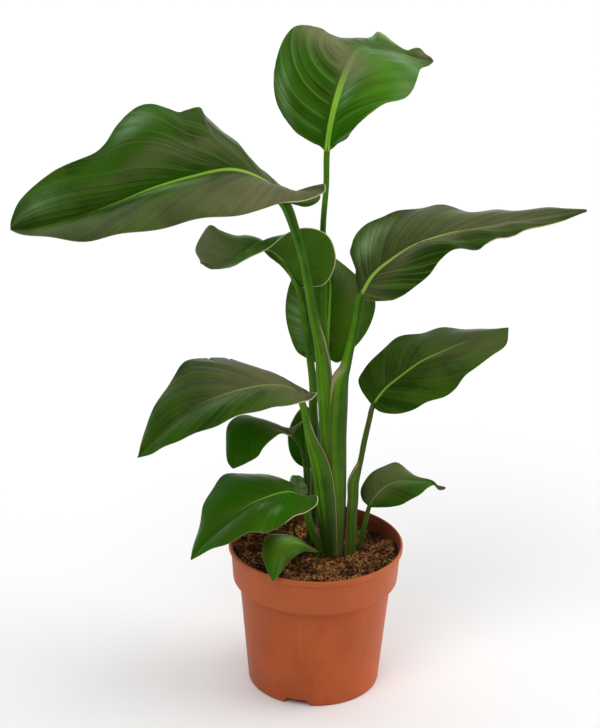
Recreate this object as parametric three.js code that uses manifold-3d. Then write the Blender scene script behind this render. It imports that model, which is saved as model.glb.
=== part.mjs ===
// A potted bird of paradise: thirteen broad leaves on clasping stalks, in potting mix,
// in a terracotta-coloured plastic nursery pot. Millimetres, +Z up, the origin under the
// pot's centre on the surface it stands on, +X to the plant's right and -Y to its front.

import * as THREE from 'three';
import { mergeVertices } from 'three/addons/utils/BufferGeometryUtils.js';
import Module from 'manifold-3d';

const wasm = await Module();
wasm.setup();

// ---- driving dimensions ----
const gap = 0.3; // clear space between touching pieces
const cutPast = 2; // how far a cut runs past the surface that it opens
const weldDistance = 1e-4; // points closer than this are one

const pot = {
  height: 147,
  rimRadius: 85, // outside of the rolled lip
  lipHeight: 6,
  edge: 1.4, // rounding of the lip, the collar's lower edge and the inner corner
  collarTopRadius: 82.8,
  collarBottomRadius: 80.4,
  collarBottom: 110, // height of the collar's lower edge
  collarSlope: 3, // height over which the body runs out to the collar
  shoulderRadius: 74.4, // body just under the collar
  baseRadius: 64.4,
  footChamfer: 1.6,
  wall: 1.8,
  lipWall: 2, // the lip flares, so its wall is hardly thicker
  floor: 2.2,
  sides: 48,
};

const channel = {
  count: 3, // drainage channels under the floor
  firstAngle: -104.5, // degrees from +X; the first one shows at the front
  footWidth: 33,
  topWidth: 20,
  height: 6.5,
  innerRadius: 24, // the channels end at a flat centre pad
  holeRadius: 5,
  holeSides: 16,
  holeFromAxis: 42,
};

const soil = {
  level: 132.5, // height of the mix, 14.5 mm below the rim
  slope: 0.035, // rise towards the front
  mounds: [ // x, y, extra height and reach of each heap
    [18, -8, 4, 20],
    [-82, 5, 5, 26],
    [82, 14, 8, 20],
    [-15, -60, 2, 30],
  ],
  clear: 0.5, // space between the mix and the pot
  lump: 0.7, // rise and fall of the uneven top
  lumpLength: 7,
  crumb: 0.4, // a second, shorter unevenness
  crumbLength: 4.5,
  rings: 8,
};

const blade = {
  thickness: 0.9,
  keel: 1.4, // how much the midrib stands out below, at the leaf's base
  crowding: 1.2, // columns stand closer together near the midrib
  camberFade: 0.7, // how soon the camber dies away towards the leaf's ends
  rippleReach: 3, // the higher, the closer the ripples keep to the margin
  ripplePhase: 1.7, // start of the right margin's ripples against the left one's
};

const stalk = {
  sides: 10,
  stepsPerPoint: 2,
  stopShort: 2, // distance from the stalk's end to where the midrib starts
};

// One entry for each leaf. midrib, left and right are points that the leaf's centre line and
// its two margins pass through, from the stalk to the tip, with the upper face towards the
// reader; stalk runs from inside the potting mix to the blade, with its half-widths along X
// and Y at the same points. fan is how far the side veins sweep towards the tip, camber how
// much each half bulges upwards, wave the height and number of ripples along the margins.
const leaves = [
  {
    name: 'top', rows: 20, columns: 5, fan: 1.8, camber: [5, 5], wave: [1.5, 4],
    midrib: [[3, 5, 539], [6, 4, 567], [12, 8, 594], [19, 16, 612], [28, 32, 626], [49, 66, 620],
      [74, 88, 610], [89, 97, 604], [102, 102, 601]],
    left: [[1, 4, 540], [-7, 0, 549], [-24, -6, 559], [-42, -12, 586], [-46, -8, 611], [-39, 8, 638],
      [-27, 26, 650], [-7, 46, 643], [9, 58, 633], [26, 74, 628], [43, 87, 626], [48, 90, 630],
      [54, 93, 627], [65, 98, 618], [77, 100, 611], [83, 101, 613], [89, 102, 613], [95, 103, 607],
      [100, 103, 604], [102, 103, 601]],
    right: [[5, 4, 540], [13, 1, 548], [20, -2, 553], [25, -8, 563], [35, -14, 575], [52, -14, 589],
      [70, -2, 591], [80, 22, 594], [86, 56, 600], [90, 78, 600], [98, 96, 598], [102, 102, 600]],
    stalk: [[18, 6, 107], [16, 6, 131], [13, 6, 221], [9, 6, 294], [7, 7, 332], [4, 9, 359],
      [3, 16, 403], [1, 20, 461], [3, 13, 505], [3, 5, 539]],
    stalkRadii: [[4, 4], [4.2, 4.2], [4.2, 4.2], [4.2, 4.2], [4, 4], [3.3, 3.3], [3.2, 3.2],
      [2.8, 2.8], [2.7, 2.7], [2.8, 2.8]],
  },
  {
    name: 'upper_left', rows: 24, columns: 5, fan: 1.7, camber: [8, 8], wave: [2, 5],
    midrib: [[-33, -8, 494], [-44, -8, 508], [-61, -6, 518], [-83, -4, 523], [-120, 0, 514],
      [-155, 2, 502], [-190, 4, 486], [-226, 4, 472], [-261, 2, 463], [-286, 0, 462]],
    left: [[-30, -12, 497], [-15, -12, 501], [-6, -14, 504], [-2, -18, 512], [1, -22, 517],
      [2, -26, 512], [-3, -29, 509], [-13, -31, 505], [-22, -33, 503], [-38, -38, 502],
      [-53, -46, 500], [-74, -56, 498], [-103, -66, 496], [-144, -70, 489], [-174, -70, 482],
      [-206, -64, 474], [-244, -44, 469], [-275, -16, 463], [-286, 0, 461]],
    right: [[-31, -4, 493], [-23, -2, 490], [-17, 1, 488], [-11, 4, 488], [-4, 8, 491], [-2, 12, 495],
      [-15, 18, 496], [-39, 24, 496], [-60, 30, 508], [-72, 36, 518], [-82, 43, 532], [-85, 44, 539],
      [-95, 46, 545], [-110, 46, 560], [-114, 46, 567], [-128, 47, 565], [-134, 48, 563],
      [-145, 48, 566], [-158, 48, 569], [-171, 48, 566], [-191, 46, 549], [-203, 43, 532],
      [-212, 41, 524], [-253, 34, 505], [-279, 18, 484], [-288, 4, 468], [-286, 0, 463]],
    stalk: [[18, -1, 111], [17, -1, 135], [14, -1, 192], [10, -1, 251], [6, -2, 303], [4, -3, 329],
      [0, -4, 356], [-6, -5, 382], [-12, -7, 416], [-16, -8, 437], [-25, -8, 469], [-33, -8, 493]],
    stalkRadii: [[6, 6], [6.5, 7], [7.2, 8], [7.6, 8], [7.5, 7.4], [7.3, 7.2], [5.6, 6], [4.6, 5],
      [4.1, 4.6], [4, 4.6], [4.4, 4.8], [5, 4.6]],
  },
  {
    name: 'twisted', rows: 20, columns: 4, fan: 1.5, camber: [8, 4], wave: [1, 3],
    midrib: [[-20, 15, 404], [-28, 15, 420], [-38, 17, 432], [-50, 22, 438], [-75, 36, 425],
      [-102, 58, 410], [-116, 78, 406]],
    left: [[-19, 14, 404], [-8, 8, 408], [2, 4, 411], [10, 1, 424], [13, 2, 442], [5, 4, 460],
      [-13, 5, 466], [-30, 4, 462], [-46, 8, 448], [-60, 20, 435], [-72, 32, 424], [-86, 44, 413],
      [-104, 62, 406], [-116, 78, 405]],
    right: [[-22, 16, 403], [-27, 19, 410], [-38, 24, 423], [-50, 30, 430], [-62, 42, 438],
      [-70, 52, 443], [-83, 60, 440], [-96, 70, 441], [-106, 80, 443], [-115, 88, 431],
      [-121, 88, 415], [-116, 79, 407]],
    stalk: [[-3, 22, 98], [-3, 22, 128], [-2, 21, 181], [-3, 19, 257], [-5, 18, 284], [-5, 18, 302],
      [-9, 17, 334], [-12, 16, 358], [-16, 16, 385], [-20, 15, 403]],
    stalkRadii: [[3.6, 3.6], [3.8, 3.8], [4, 4], [4.1, 4.1], [4.2, 4.2], [4.1, 4.1], [3.5, 3.5],
      [3.8, 3.8], [3.8, 3.8], [3.2, 3.2]],
  },
  {
    name: 'rear', rows: 14, columns: 4, fan: 1.5, camber: [4, 4], wave: [1, 4],
    midrib: [[8, 40, 325], [8, 36, 349], [9, 34, 380], [9, 40, 401], [6, 52, 414], [1, 66, 422]],
    left: [[6, 40, 324], [-3, 36, 321], [-13, 32, 327], [-21, 29, 334], [-29, 26, 354], [-33, 26, 379],
      [-31, 30, 396], [-24, 42, 410], [-12, 54, 420], [1, 66, 423]],
    right: [[9, 40, 324], [18, 36, 321], [33, 30, 339], [46, 26, 360], [52, 28, 387], [43, 34, 402],
      [29, 42, 412], [14, 54, 420], [1, 67, 421]],
    stalk: [[14, 30, 94], [13, 30, 128], [12, 31, 209], [9, 36, 282], [8, 40, 324]],
    stalkRadii: [[3, 3], [3.2, 3.2], [3, 3], [2.6, 2.6], [2.5, 2.5]],
  },
  {
    name: 'upper_right', rows: 24, columns: 5, fan: 1.5, camber: [6, 6], wave: [2, 6],
    midrib: [[36, -5, 403], [48, -6, 425], [63, -8, 440], [85, -10, 456], [115, -12, 468],
      [144, -12, 474], [180, -8, 480], [213, -4, 485], [241, 0, 489]],
    left: [[35, -4, 404], [32, -2, 419], [31, 2, 434], [26, 6, 442], [28, 12, 449], [33, 18, 458],
      [43, 26, 466], [57, 32, 470], [83, 40, 475], [105, 40, 479], [132, 36, 476], [170, 26, 479],
      [210, 12, 487], [241, 0, 490]],
    right: [[38, -7, 402], [50, -14, 403], [66, -24, 408], [75, -32, 415], [85, -40, 428],
      [98, -48, 441], [106, -50, 459], [114, -50, 465], [125, -50, 466], [134, -49, 465],
      [140, -46, 466], [146, -43, 471], [156, -40, 473], [165, -37, 472], [173, -33, 474],
      [182, -28, 479], [200, -18, 478], [216, -10, 481], [241, 0, 488]],
    stalk: [[23, -1, 111], [22, -1, 135], [22, -1, 171], [19, -2, 220], [17, -2, 267], [18, -2, 292],
      [20, -2, 320], [24, -2, 331], [28, -3, 350], [33, -4, 376], [37, -5, 402]],
    stalkRadii: [[4.6, 7.4], [4.9, 8], [6.4, 9.4], [9.2, 10.6], [10.4, 10.4], [9.8, 9.8], [8.2, 8],
      [5.5, 6], [4.3, 4.6], [4, 4.2], [3.9, 3.9]],
  },
  {
    name: 'middle_right', rows: 16, columns: 4, fan: 1.5, camber: [4, 5], wave: [1.2, 5],
    midrib: [[51, -12, 298], [62, -14, 315], [77, -16, 330], [93, -18, 344], [113, -18, 355],
      [136, -16, 365], [158, -12, 371], [175, -8, 376]],
    left: [[49, -11, 299], [44, -8, 305], [39, -4, 312], [37, 0, 318], [42, 6, 326], [53, 12, 337],
      [71, 18, 353], [95, 20, 359], [118, 18, 365], [148, 8, 368], [175, -7, 376]],
    right: [[52, -14, 296], [59, -20, 294], [73, -28, 296], [86, -34, 302], [99, -40, 313],
      [116, -42, 320], [126, -42, 329], [136, -40, 342], [158, -28, 355], [173, -16, 363],
      [175, -8, 375]],
    stalk: [[33, 1, 110], [33, 1, 133], [34, 0, 149], [34, 0, 174], [35, 0, 193], [35, -2, 213],
      [38, -2, 224], [41, -4, 235], [44, -8, 257], [48, -10, 280], [50, -12, 300]],
    stalkRadii: [[5, 5.6], [5.4, 6.6], [5.5, 6.8], [5.6, 6.8], [5.4, 6.6], [5.6, 6], [4.3, 4.8],
      [2.8, 3.4], [2.8, 2.8], [2.6, 2.6], [2.5, 2.5]],
  },
  {
    name: 'middle_left', rows: 18, columns: 4, fan: 1.5, camber: [5, 6], wave: [1.5, 5],
    midrib: [[-16, -18, 305], [-27, -20, 317], [-47, -24, 321], [-80, -30, 316], [-115, -34, 302],
      [-146, -34, 276], [-170, -32, 249]],
    left: [[-13, -22, 307], [-8, -24, 313], [-2, -28, 316], [-7, -32, 311], [-15, -36, 310],
      [-32, -46, 309], [-46, -54, 311], [-79, -66, 305], [-117, -66, 287], [-137, -58, 275],
      [-155, -44, 258], [-170, -32, 248]],
    right: [[-14, -14, 306], [-9, -8, 307], [-16, -2, 310], [-27, 2, 314], [-45, 10, 317],
      [-59, 16, 322], [-78, 22, 326], [-110, 24, 329], [-127, 20, 325], [-138, 10, 314],
      [-153, -8, 294], [-161, -18, 279], [-167, -27, 260], [-169, -32, 250]],
    stalk: [[16, -9, 115], [15, -9, 139], [12, -10, 162], [8, -11, 199], [4, -12, 227], [-1, -13, 246],
      [-7, -15, 264], [-11, -16, 280], [-16, -18, 302]],
    stalkRadii: [[5.4, 5], [6, 5.4], [8.2, 6.2], [10, 6.8], [9.4, 6.2], [7.9, 5.4], [5, 4.4],
      [3.8, 3.8], [3.3, 3.3]],
  },
  {
    name: 'hanging', rows: 12, columns: 3, fan: 1.3, camber: [2, 3], wave: [0.8, 3],
    midrib: [[-25, 8, 256], [-38, 6, 263], [-54, 4, 267], [-68, 0, 262], [-77, -4, 247],
      [-81, -6, 227]],
    left: [[-25, 6, 256], [-30, 3, 259], [-36, 0, 261], [-43, -5, 258], [-52, -10, 250],
      [-57, -13, 243], [-68, -12, 235], [-81, -6, 226]],
    right: [[-24, 9, 257], [-15, 10, 270], [-28, 16, 259], [-43, 20, 262], [-56, 24, 266],
      [-70, 24, 270], [-81, 20, 267], [-87, 14, 261], [-88, 4, 245], [-86, -3, 232], [-82, -6, 227]],
    stalk: [[-7, 14, 102], [-7, 14, 132], [-7, 15, 168], [-10, 15, 200], [-13, 12, 228],
      [-18, 10, 246], [-25, 8, 255]],
    stalkRadii: [[2, 2], [2.2, 2.2], [2.4, 2.4], [2.4, 2.4], [1.7, 1.7], [1.6, 1.6], [1.6, 1.6]],
  },
  {
    name: 'inner', rows: 10, columns: 3, fan: 1.4, camber: [2, 2], wave: [0.5, 3],
    midrib: [[-8, 40, 206], [-11, 36, 226], [-13, 35, 245], [-14, 38, 259], [-13, 44, 272]],
    left: [[-9, 40, 206], [-21, 36, 215], [-27, 32, 228], [-29, 30, 243], [-27, 32, 256],
      [-20, 38, 268], [-13, 44, 273]],
    right: [[-7, 40, 206], [0, 37, 215], [4, 34, 229], [3, 33, 245], [0, 35, 261], [-6, 39, 270],
      [-12, 44, 272]],
    stalk: [[-6, 34, 97], [-6, 34, 131], [-6, 37, 168], [-8, 40, 205]],
    stalkRadii: [[2, 2], [2.2, 2.2], [2, 2], [1.7, 1.7]],
  },
  {
    name: 'lower_left', rows: 16, columns: 4, fan: 1.5, camber: [4, 5], wave: [1, 4],
    midrib: [[-13, -22, 202], [-24, -26, 212], [-35, -30, 213], [-48, -34, 210], [-62, -38, 205],
      [-79, -44, 194], [-99, -50, 175], [-119, -52, 152]],
    left: [[-10, -26, 204], [-5, -30, 210], [0, -36, 213], [0, -42, 208], [-10, -48, 202],
      [-21, -54, 200], [-32, -62, 195], [-49, -72, 192], [-63, -76, 193], [-85, -76, 181],
      [-101, -66, 169], [-119, -52, 151]],
    right: [[-12, -18, 202], [-13, -12, 205], [-25, -6, 213], [-52, 4, 216], [-74, 6, 216],
      [-90, 4, 214], [-101, -6, 204], [-108, -16, 194], [-111, -28, 179], [-117, -42, 162],
      [-119, -52, 153]],
    stalk: [[12, -4, 109], [9, -6, 134], [4, -8, 145], [-3, -12, 163], [-9, -17, 184], [-13, -22, 199]],
    stalkRadii: [[2.4, 2.4], [2.6, 2.6], [4, 3.2], [4.5, 3.4], [3.7, 3.2], [3.2, 3]],
  },
  {
    name: 'lower_right', rows: 14, columns: 3, fan: 1.4, camber: [3, 3], wave: [0.8, 4],
    midrib: [[51, 8, 182], [58, 6, 195], [69, 4, 207], [81, 2, 212], [95, 0, 213], [112, 0, 212],
      [117, 0, 207], [124, 0, 207]],
    left: [[50, 10, 182], [45, 14, 186], [43, 18, 195], [49, 24, 205], [60, 28, 213], [76, 28, 220],
      [88, 20, 216], [100, 10, 212], [112, 1, 213], [117, 1, 209], [124, 0, 208]],
    right: [[53, 6, 182], [64, -4, 187], [75, -12, 192], [87, -18, 200], [99, -18, 209],
      [108, -8, 211], [113, -1, 210], [118, -1, 205], [124, -1, 206]],
    stalk: [[41, 10, 105], [42, 10, 131], [45, 9, 150], [48, 8, 164], [52, 8, 181]],
    stalkRadii: [[2.6, 2.6], [2.9, 2.9], [2.8, 2.8], [2.5, 2.5], [2.1, 2.1]],
  },
  {
    name: 'rim', rows: 12, columns: 3, fan: 1.4, camber: [2, 3], wave: [0.5, 3],
    midrib: [[2, -13, 143], [-6, -19, 149], [-17, -31, 161], [-29, -48, 167], [-36, -70, 165],
      [-40, -91, 151]],
    left: [[3, -15, 143], [-4, -23, 147], [-11, -35, 154], [-19, -48, 156], [-27, -64, 156],
      [-33, -80, 155], [-39, -91, 151]],
    right: [[1, -11, 143], [-6, -15, 148], [-13, -20, 154], [-23, -27, 164], [-31, -33, 170],
      [-42, -42, 175], [-49, -51, 173], [-51, -61, 168], [-49, -74, 162], [-44, -85, 155],
      [-41, -91, 151]],
    stalk: [[1, -12, 109], [1, -13, 131], [2, -13, 143]],
    stalkRadii: [[1.6, 1.6], [1.8, 1.8], [1.7, 1.6]],
  },
  {
    name: 'wilted', rows: 6, columns: 2, fan: 1.2, camber: [1, 1], wave: [1.2, 3],
    midrib: [[-18, 8, 181], [-18, 10, 193], [-18, 12, 203], [-18, 14, 211]],
    left: [[-19, 8, 181], [-25, 6, 188], [-27, 7, 199], [-25, 10, 212], [-19, 14, 211]],
    right: [[-17, 8, 181], [-11, 6, 189], [-9, 7, 199], [-13, 10, 210], [-17, 14, 211]],
    stalk: [[-14, 6, 112], [-16, 6, 136], [-22, 6, 159], [-18, 8, 181]],
    stalkRadii: [[1.2, 1.2], [1.3, 1.3], [1.2, 1.2], [1.1, 1.1]],
  },
];

// Leaf stalks from the innermost outwards: each one clasps those named before it.
const claspingOrder = [
  'top', 'upper_left', 'upper_right', 'middle_left', 'middle_right', 'lower_left', 'lower_right',
  'twisted', 'rear', 'hanging', 'inner', 'rim', 'wilted',
];

// ---- materials ----
const plastic = new THREE.MeshStandardMaterial({ color: 0xae5d3c, roughness: 0.5, metalness: 0 });
const pottingMix = new THREE.MeshStandardMaterial({ color: 0x4a3020, roughness: 1, metalness: 0 });
const leafGreen = new THREE.MeshStandardMaterial({ color: 0x2f5a1c, roughness: 0.4, metalness: 0 });
const stalkGreen = new THREE.MeshStandardMaterial({ color: 0x447033, roughness: 0.5, metalness: 0 });
const wiltedOlive = new THREE.MeshStandardMaterial({ color: 0x6a6838, roughness: 0.7, metalness: 0 });

// ---- helpers ----
const vector = ([x, y, z]) => new THREE.Vector3(x, y, z);
const curve = (points) => new THREE.CatmullRomCurve3(points.map(vector), false, 'centripetal');
const radians = THREE.MathUtils.degToRad;
const { lerp } = THREE.MathUtils;

// A three.js geometry as a manifold-3d solid.
function toSolid(geometry) {
  const bare = geometry.clone();
  bare.deleteAttribute('normal');
  bare.deleteAttribute('uv');
  const merged = mergeVertices(bare, weldDistance);
  const index = merged.index.array;
  const faces = [];
  for (let i = 0; i < index.length; i += 3) {
    const [a, b, c] = [index[i], index[i + 1], index[i + 2]];
    if (a !== b && b !== c && c !== a) faces.push(a, b, c);
  }
  return new wasm.Manifold(new wasm.Mesh({
    numProp: 3,
    vertProperties: new Float32Array(merged.attributes.position.array),
    triVerts: new Uint32Array(faces),
  }));
}

// A manifold-3d solid as a three.js geometry, its largest body only.
function toGeometry(solid) {
  const bodies = solid.decompose();
  const largest = bodies.reduce((a, b) => (b.volume() > a.volume() ? b : a));
  const mesh = largest.getMesh();
  const geometry = new THREE.BufferGeometry();
  geometry.setAttribute('position', new THREE.BufferAttribute(mesh.vertProperties, 3));
  geometry.setIndex(new THREE.BufferAttribute(mesh.triVerts, 1));
  geometry.computeVertexNormals();
  return geometry;
}

// A solid of revolution about +Z, from [radius, height] points that start and end on the axis
// and run upwards along the outside.
function turned(profile, sides) {
  const points = profile.map(([radius, height]) => new THREE.Vector2(radius, height));
  return new THREE.LatheGeometry(points, sides).rotateX(Math.PI / 2);
}

// ---- the pot ----
const taper = (pot.shoulderRadius - pot.baseRadius) / pot.collarBottom;
const bodyRadius = (z) => pot.baseRadius + taper * z;
const stepTop = pot.collarBottom + pot.collarSlope; // the inner wall's step out to the collar

function potOutside() {
  const lipBottom = pot.height - pot.lipHeight;
  const slopeBottom = pot.collarBottom - pot.collarSlope;
  return turned([
    [0, 0],
    [pot.baseRadius - pot.footChamfer, 0],
    [bodyRadius(pot.footChamfer), pot.footChamfer],
    [bodyRadius(slopeBottom), slopeBottom],
    [pot.collarBottomRadius - pot.edge, pot.collarBottom - pot.edge],
    [pot.collarBottomRadius, pot.collarBottom],
    [pot.collarTopRadius, lipBottom - pot.edge],
    [pot.rimRadius - pot.edge / 2, lipBottom],
    [pot.rimRadius, lipBottom + pot.edge],
    [pot.rimRadius, pot.height - pot.edge],
    [pot.rimRadius - pot.edge, pot.height],
    [0, pot.height],
  ], pot.sides);
}

// Inside radius of the collar at a height; it widens once more in the lip.
function collarInside(z) {
  const lipBottom = pot.height - pot.lipHeight;
  const below = pot.collarTopRadius - pot.wall;
  if (z > lipBottom) return lerp(below, pot.rimRadius - pot.lipWall, (z - lipBottom) / pot.lipHeight);
  const upCollar = (z - stepTop) / (lipBottom - stepTop);
  return lerp(pot.collarBottomRadius - pot.wall, below, upCollar);
}

// Points up the inner wall as far as a height, moved inwards by an extra clearance.
function innerProfile(inset, bottom, top) {
  const offset = pot.wall + inset;
  const lipBottom = pot.height - pot.lipHeight;
  const profile = [
    [0, bottom],
    [bodyRadius(bottom) - offset - pot.edge, bottom],
    [bodyRadius(bottom + pot.edge) - offset, bottom + pot.edge],
    [bodyRadius(pot.collarBottom) - offset, pot.collarBottom],
    [collarInside(stepTop) - inset, stepTop],
  ];
  if (top > lipBottom) profile.push([collarInside(lipBottom) - inset, lipBottom]);
  profile.push([collarInside(top) - inset, top], [0, top]);
  return profile;
}

// A drainage channel's prism: a trapezoid across, running outwards from the centre pad.
function channelPrism(angle, extra) {
  const foot = channel.footWidth / 2 + extra;
  const top = channel.topWidth / 2 + extra;
  const height = channel.height + extra;
  const section = new THREE.Shape([
    new THREE.Vector2(-foot, -cutPast),
    new THREE.Vector2(foot, -cutPast),
    new THREE.Vector2(top, height),
    new THREE.Vector2(-top, height),
  ]);
  const start = channel.innerRadius - extra;
  const prism = new THREE.ExtrudeGeometry(section, { depth: pot.baseRadius, bevelEnabled: false });
  prism.rotateX(Math.PI / 2).rotateZ(Math.PI / 2); // the depth now runs along +X
  return prism.translate(start, 0, 0).rotateZ(radians(angle));
}

const channelAngles = Array.from({ length: channel.count },
  (_, i) => channel.firstAngle + (360 / channel.count) * i);

function makePot() {
  let cavity = toSolid(turned(innerProfile(0, pot.floor, pot.height + cutPast), pot.sides));
  let body = toSolid(potOutside());
  for (const angle of channelAngles) {
    body = body.subtract(toSolid(channelPrism(angle, 0)));
    cavity = cavity.subtract(toSolid(channelPrism(angle, pot.floor)));
  }
  body = body.subtract(cavity);
  for (const angle of channelAngles) {
    const { holeRadius, holeSides, holeFromAxis, height } = channel;
    const hole = new THREE.CylinderGeometry(holeRadius, holeRadius, 2 * height, holeSides);
    hole.rotateX(Math.PI / 2).translate(holeFromAxis, 0, height).rotateZ(radians(angle));
    body = body.subtract(toSolid(hole));
  }
  return toGeometry(body);
}

// ---- the leaves ----
// A blade's point at row t, from 0 at the stalk to 1 at the tip, and column s, from -1 at the
// left margin through 0 at the midrib to 1 at the right margin.
function bladePoint(leaf, curves, t, s) {
  const [wave, waves] = leaf.wave;
  const alongMidrib = t ** leaf.fan;
  const centre = curves.midrib.getPointAt(alongMidrib);
  if (s === 0) return centre;
  const direction = curves.midrib.getTangentAt(alongMidrib);
  const margin = (s < 0 ? curves.left : curves.right).getPointAt(t);
  const across = margin.clone().sub(centre);
  const up = across.clone().cross(direction).multiplyScalar(Math.sign(s)).normalize();
  const out = Math.abs(s);
  const along = Math.sin(Math.PI * t);
  const camber = leaf.camber[s < 0 ? 0 : 1] * Math.sin(Math.PI * out) * along ** blade.camberFade;
  const phase = 2 * Math.PI * waves * t + (s < 0 ? 0 : blade.ripplePhase);
  const ripple = wave * out ** blade.rippleReach * along * Math.sin(phase);
  return centre.add(across.multiplyScalar(out)).addScaledVector(up, camber + ripple);
}

// A blade as a closed solid: an upper grid, the same grid moved down by the thickness, and a
// strip round the margin. Both faces are split along the same diagonals.
function bladeSolid(leaf, extra) {
  const curves = {
    midrib: curve(leaf.midrib),
    left: curve(leaf.left),
    right: curve(leaf.right),
  };
  const wide = 2 * leaf.columns;
  const stride = wide + 1;
  const grid = [];
  for (let row = 0; row <= leaf.rows; row += 1) {
    for (let column = 0; column <= wide; column += 1) {
      const side = column / leaf.columns - 1;
      const s = Math.sign(side) * Math.abs(side) ** blade.crowding;
      grid.push(bladePoint(leaf, curves, row / leaf.rows, s));
    }
  }
  const upper = [];
  for (let row = 0; row < leaf.rows; row += 1) {
    for (let column = 0; column < wide; column += 1) {
      const a = row * stride + column;
      const [b, c, d] = [a + 1, a + stride + 1, a + stride];
      if (column < leaf.columns) upper.push([a, b, d], [b, c, d]);
      else upper.push([a, b, c], [a, c, d]);
    }
  }
  const sheet = new THREE.BufferGeometry().setFromPoints(grid);
  sheet.setIndex(upper.flat());
  sheet.computeVertexNormals();
  const normals = sheet.attributes.normal;
  const half = blade.thickness / 2 + extra;
  const top = [];
  const bottom = [];
  grid.forEach((point, i) => {
    const normal = new THREE.Vector3().fromBufferAttribute(normals, i);
    const row = Math.floor(i / stride);
    const onMidrib = i % stride === leaf.columns;
    const keel = onMidrib ? blade.keel * (1 - row / leaf.rows) : 0;
    top.push(point.clone().addScaledVector(normal, half));
    bottom.push(point.clone().addScaledVector(normal, -half - keel));
  });
  const count = grid.length;
  const faces = upper.flat();
  for (const [a, b, c] of upper) faces.push(count + a, count + c, count + b);
  const rim = [];
  for (let c = 0; c < wide; c += 1) rim.push(c);
  for (let r = 0; r < leaf.rows; r += 1) rim.push(r * stride + wide);
  for (let c = wide; c > 0; c -= 1) rim.push(leaf.rows * stride + c);
  for (let r = leaf.rows; r > 0; r -= 1) rim.push(r * stride);
  rim.forEach((a, i) => {
    const b = rim[(i + 1) % rim.length];
    faces.push(a, count + a, count + b, a, count + b, b);
  });
  const solid = new THREE.BufferGeometry().setFromPoints([...top, ...bottom]);
  solid.setIndex(faces);
  return solid;
}

// A stalk as a closed tapering tube: a cylinder bent along the stalk's path.
function stalkSolid(leaf, extra) {
  const path = curve(leaf.stalk);
  const widths = curve(leaf.stalkRadii.map(([x, y]) => [x, y, 0]));
  const steps = stalk.stepsPerPoint * (leaf.stalk.length - 1);
  const stalkShare = 1 - stalk.stopShort / path.getLength();
  const tube = new THREE.CylinderGeometry(1, 1, 1, stalk.sides, steps);
  const position = tube.attributes.position;
  const towardsBack = new THREE.Vector3(0, 1, 0);
  for (let i = 0; i < position.count; i += 1) {
    const t = (position.getY(i) + 0.5) * stalkShare;
    const direction = path.getTangent(t);
    const side = towardsBack.clone().cross(direction).normalize();
    const depth = direction.clone().cross(side);
    const width = widths.getPoint(t);
    const point = path.getPoint(t)
      .addScaledVector(side, position.getX(i) * (width.x + extra))
      .addScaledVector(depth, -position.getZ(i) * (width.y + extra));
    position.setXYZ(i, point.x, point.y, point.z);
  }
  return tube;
}

const byName = (name) => leaves.find((leaf) => leaf.name === name);

const around = [[gap, 0, 0], [-gap, 0, 0], [0, gap, 0], [0, -gap, 0], [0, 0, gap], [0, 0, -gap]];

// The stalk stops under its own blade and is hollowed where it clasps the stalks inside it.
function makeStalk(leaf) {
  const ownBlade = toSolid(bladeSolid(leaf, gap));
  let solid = toSolid(stalkSolid(leaf, 0));
  for (const shift of around) solid = solid.subtract(ownBlade.translate(shift));
  const inner = claspingOrder.slice(0, claspingOrder.indexOf(leaf.name));
  for (const name of inner) solid = solid.subtract(toSolid(stalkSolid(byName(name), gap)));
  return toGeometry(solid);
}

// ---- the potting mix ----
function soilHeight(x, y) {
  const lumps = soil.lump * Math.sin(x / soil.lumpLength) * Math.cos(y / soil.lumpLength);
  const crumbs = soil.crumb * Math.sin((x - y) / soil.crumbLength);
  let height = soil.level - soil.slope * y + lumps + crumbs;
  for (const [moundX, moundY, rise, reach] of soil.mounds) {
    height += rise * Math.exp(-(((x - moundX) ** 2 + (y - moundY) ** 2) / reach ** 2));
  }
  return height;
}

function makeSoil() {
  const top = soil.level;
  const profile = innerProfile(soil.clear, pot.floor + soil.clear, top).slice(0, -1);
  const outer = profile.at(-1)[0];
  for (let ring = soil.rings - 1; ring >= 0; ring -= 1) profile.push([(outer * ring) / soil.rings, top]);
  const bed = turned(profile, pot.sides);
  const position = bed.attributes.position;
  for (let i = 0; i < position.count; i += 1) {
    const [x, y] = [position.getX(i), position.getY(i)];
    if (position.getZ(i) < top - weldDistance) continue;
    const height = soilHeight(x, y);
    const spread = (collarInside(height) - soil.clear) / outer; // the wall leans outwards
    position.setXYZ(i, x * spread, y * spread, height);
  }
  let solid = toSolid(bed);
  for (const angle of channelAngles) {
    solid = solid.subtract(toSolid(channelPrism(angle, pot.floor + soil.clear)));
  }
  for (const leaf of leaves) solid = solid.subtract(toSolid(stalkSolid(leaf, gap)));
  return toGeometry(solid);
}

// ---- the plant in its pot ----
const plant = new THREE.Group();

function add(name, geometry, material) {
  const mesh = new THREE.Mesh(geometry, material);
  mesh.name = name;
  plant.add(mesh);
}

add('pot', makePot(), plastic);
add('potting_mix', makeSoil(), pottingMix);
for (const leaf of leaves) {
  const bladeColour = leaf.name === 'wilted' ? wiltedOlive : leafGreen;
  add(`${leaf.name}_leaf_stalk`, makeStalk(leaf), stalkGreen);
  add(`${leaf.name}_leaf_blade`, toGeometry(toSolid(bladeSolid(leaf, 0))), bladeColour);
}

export default plant;
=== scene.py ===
import math
import random

import bpy
import numpy as np
from mathutils import Matrix, Vector


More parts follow.
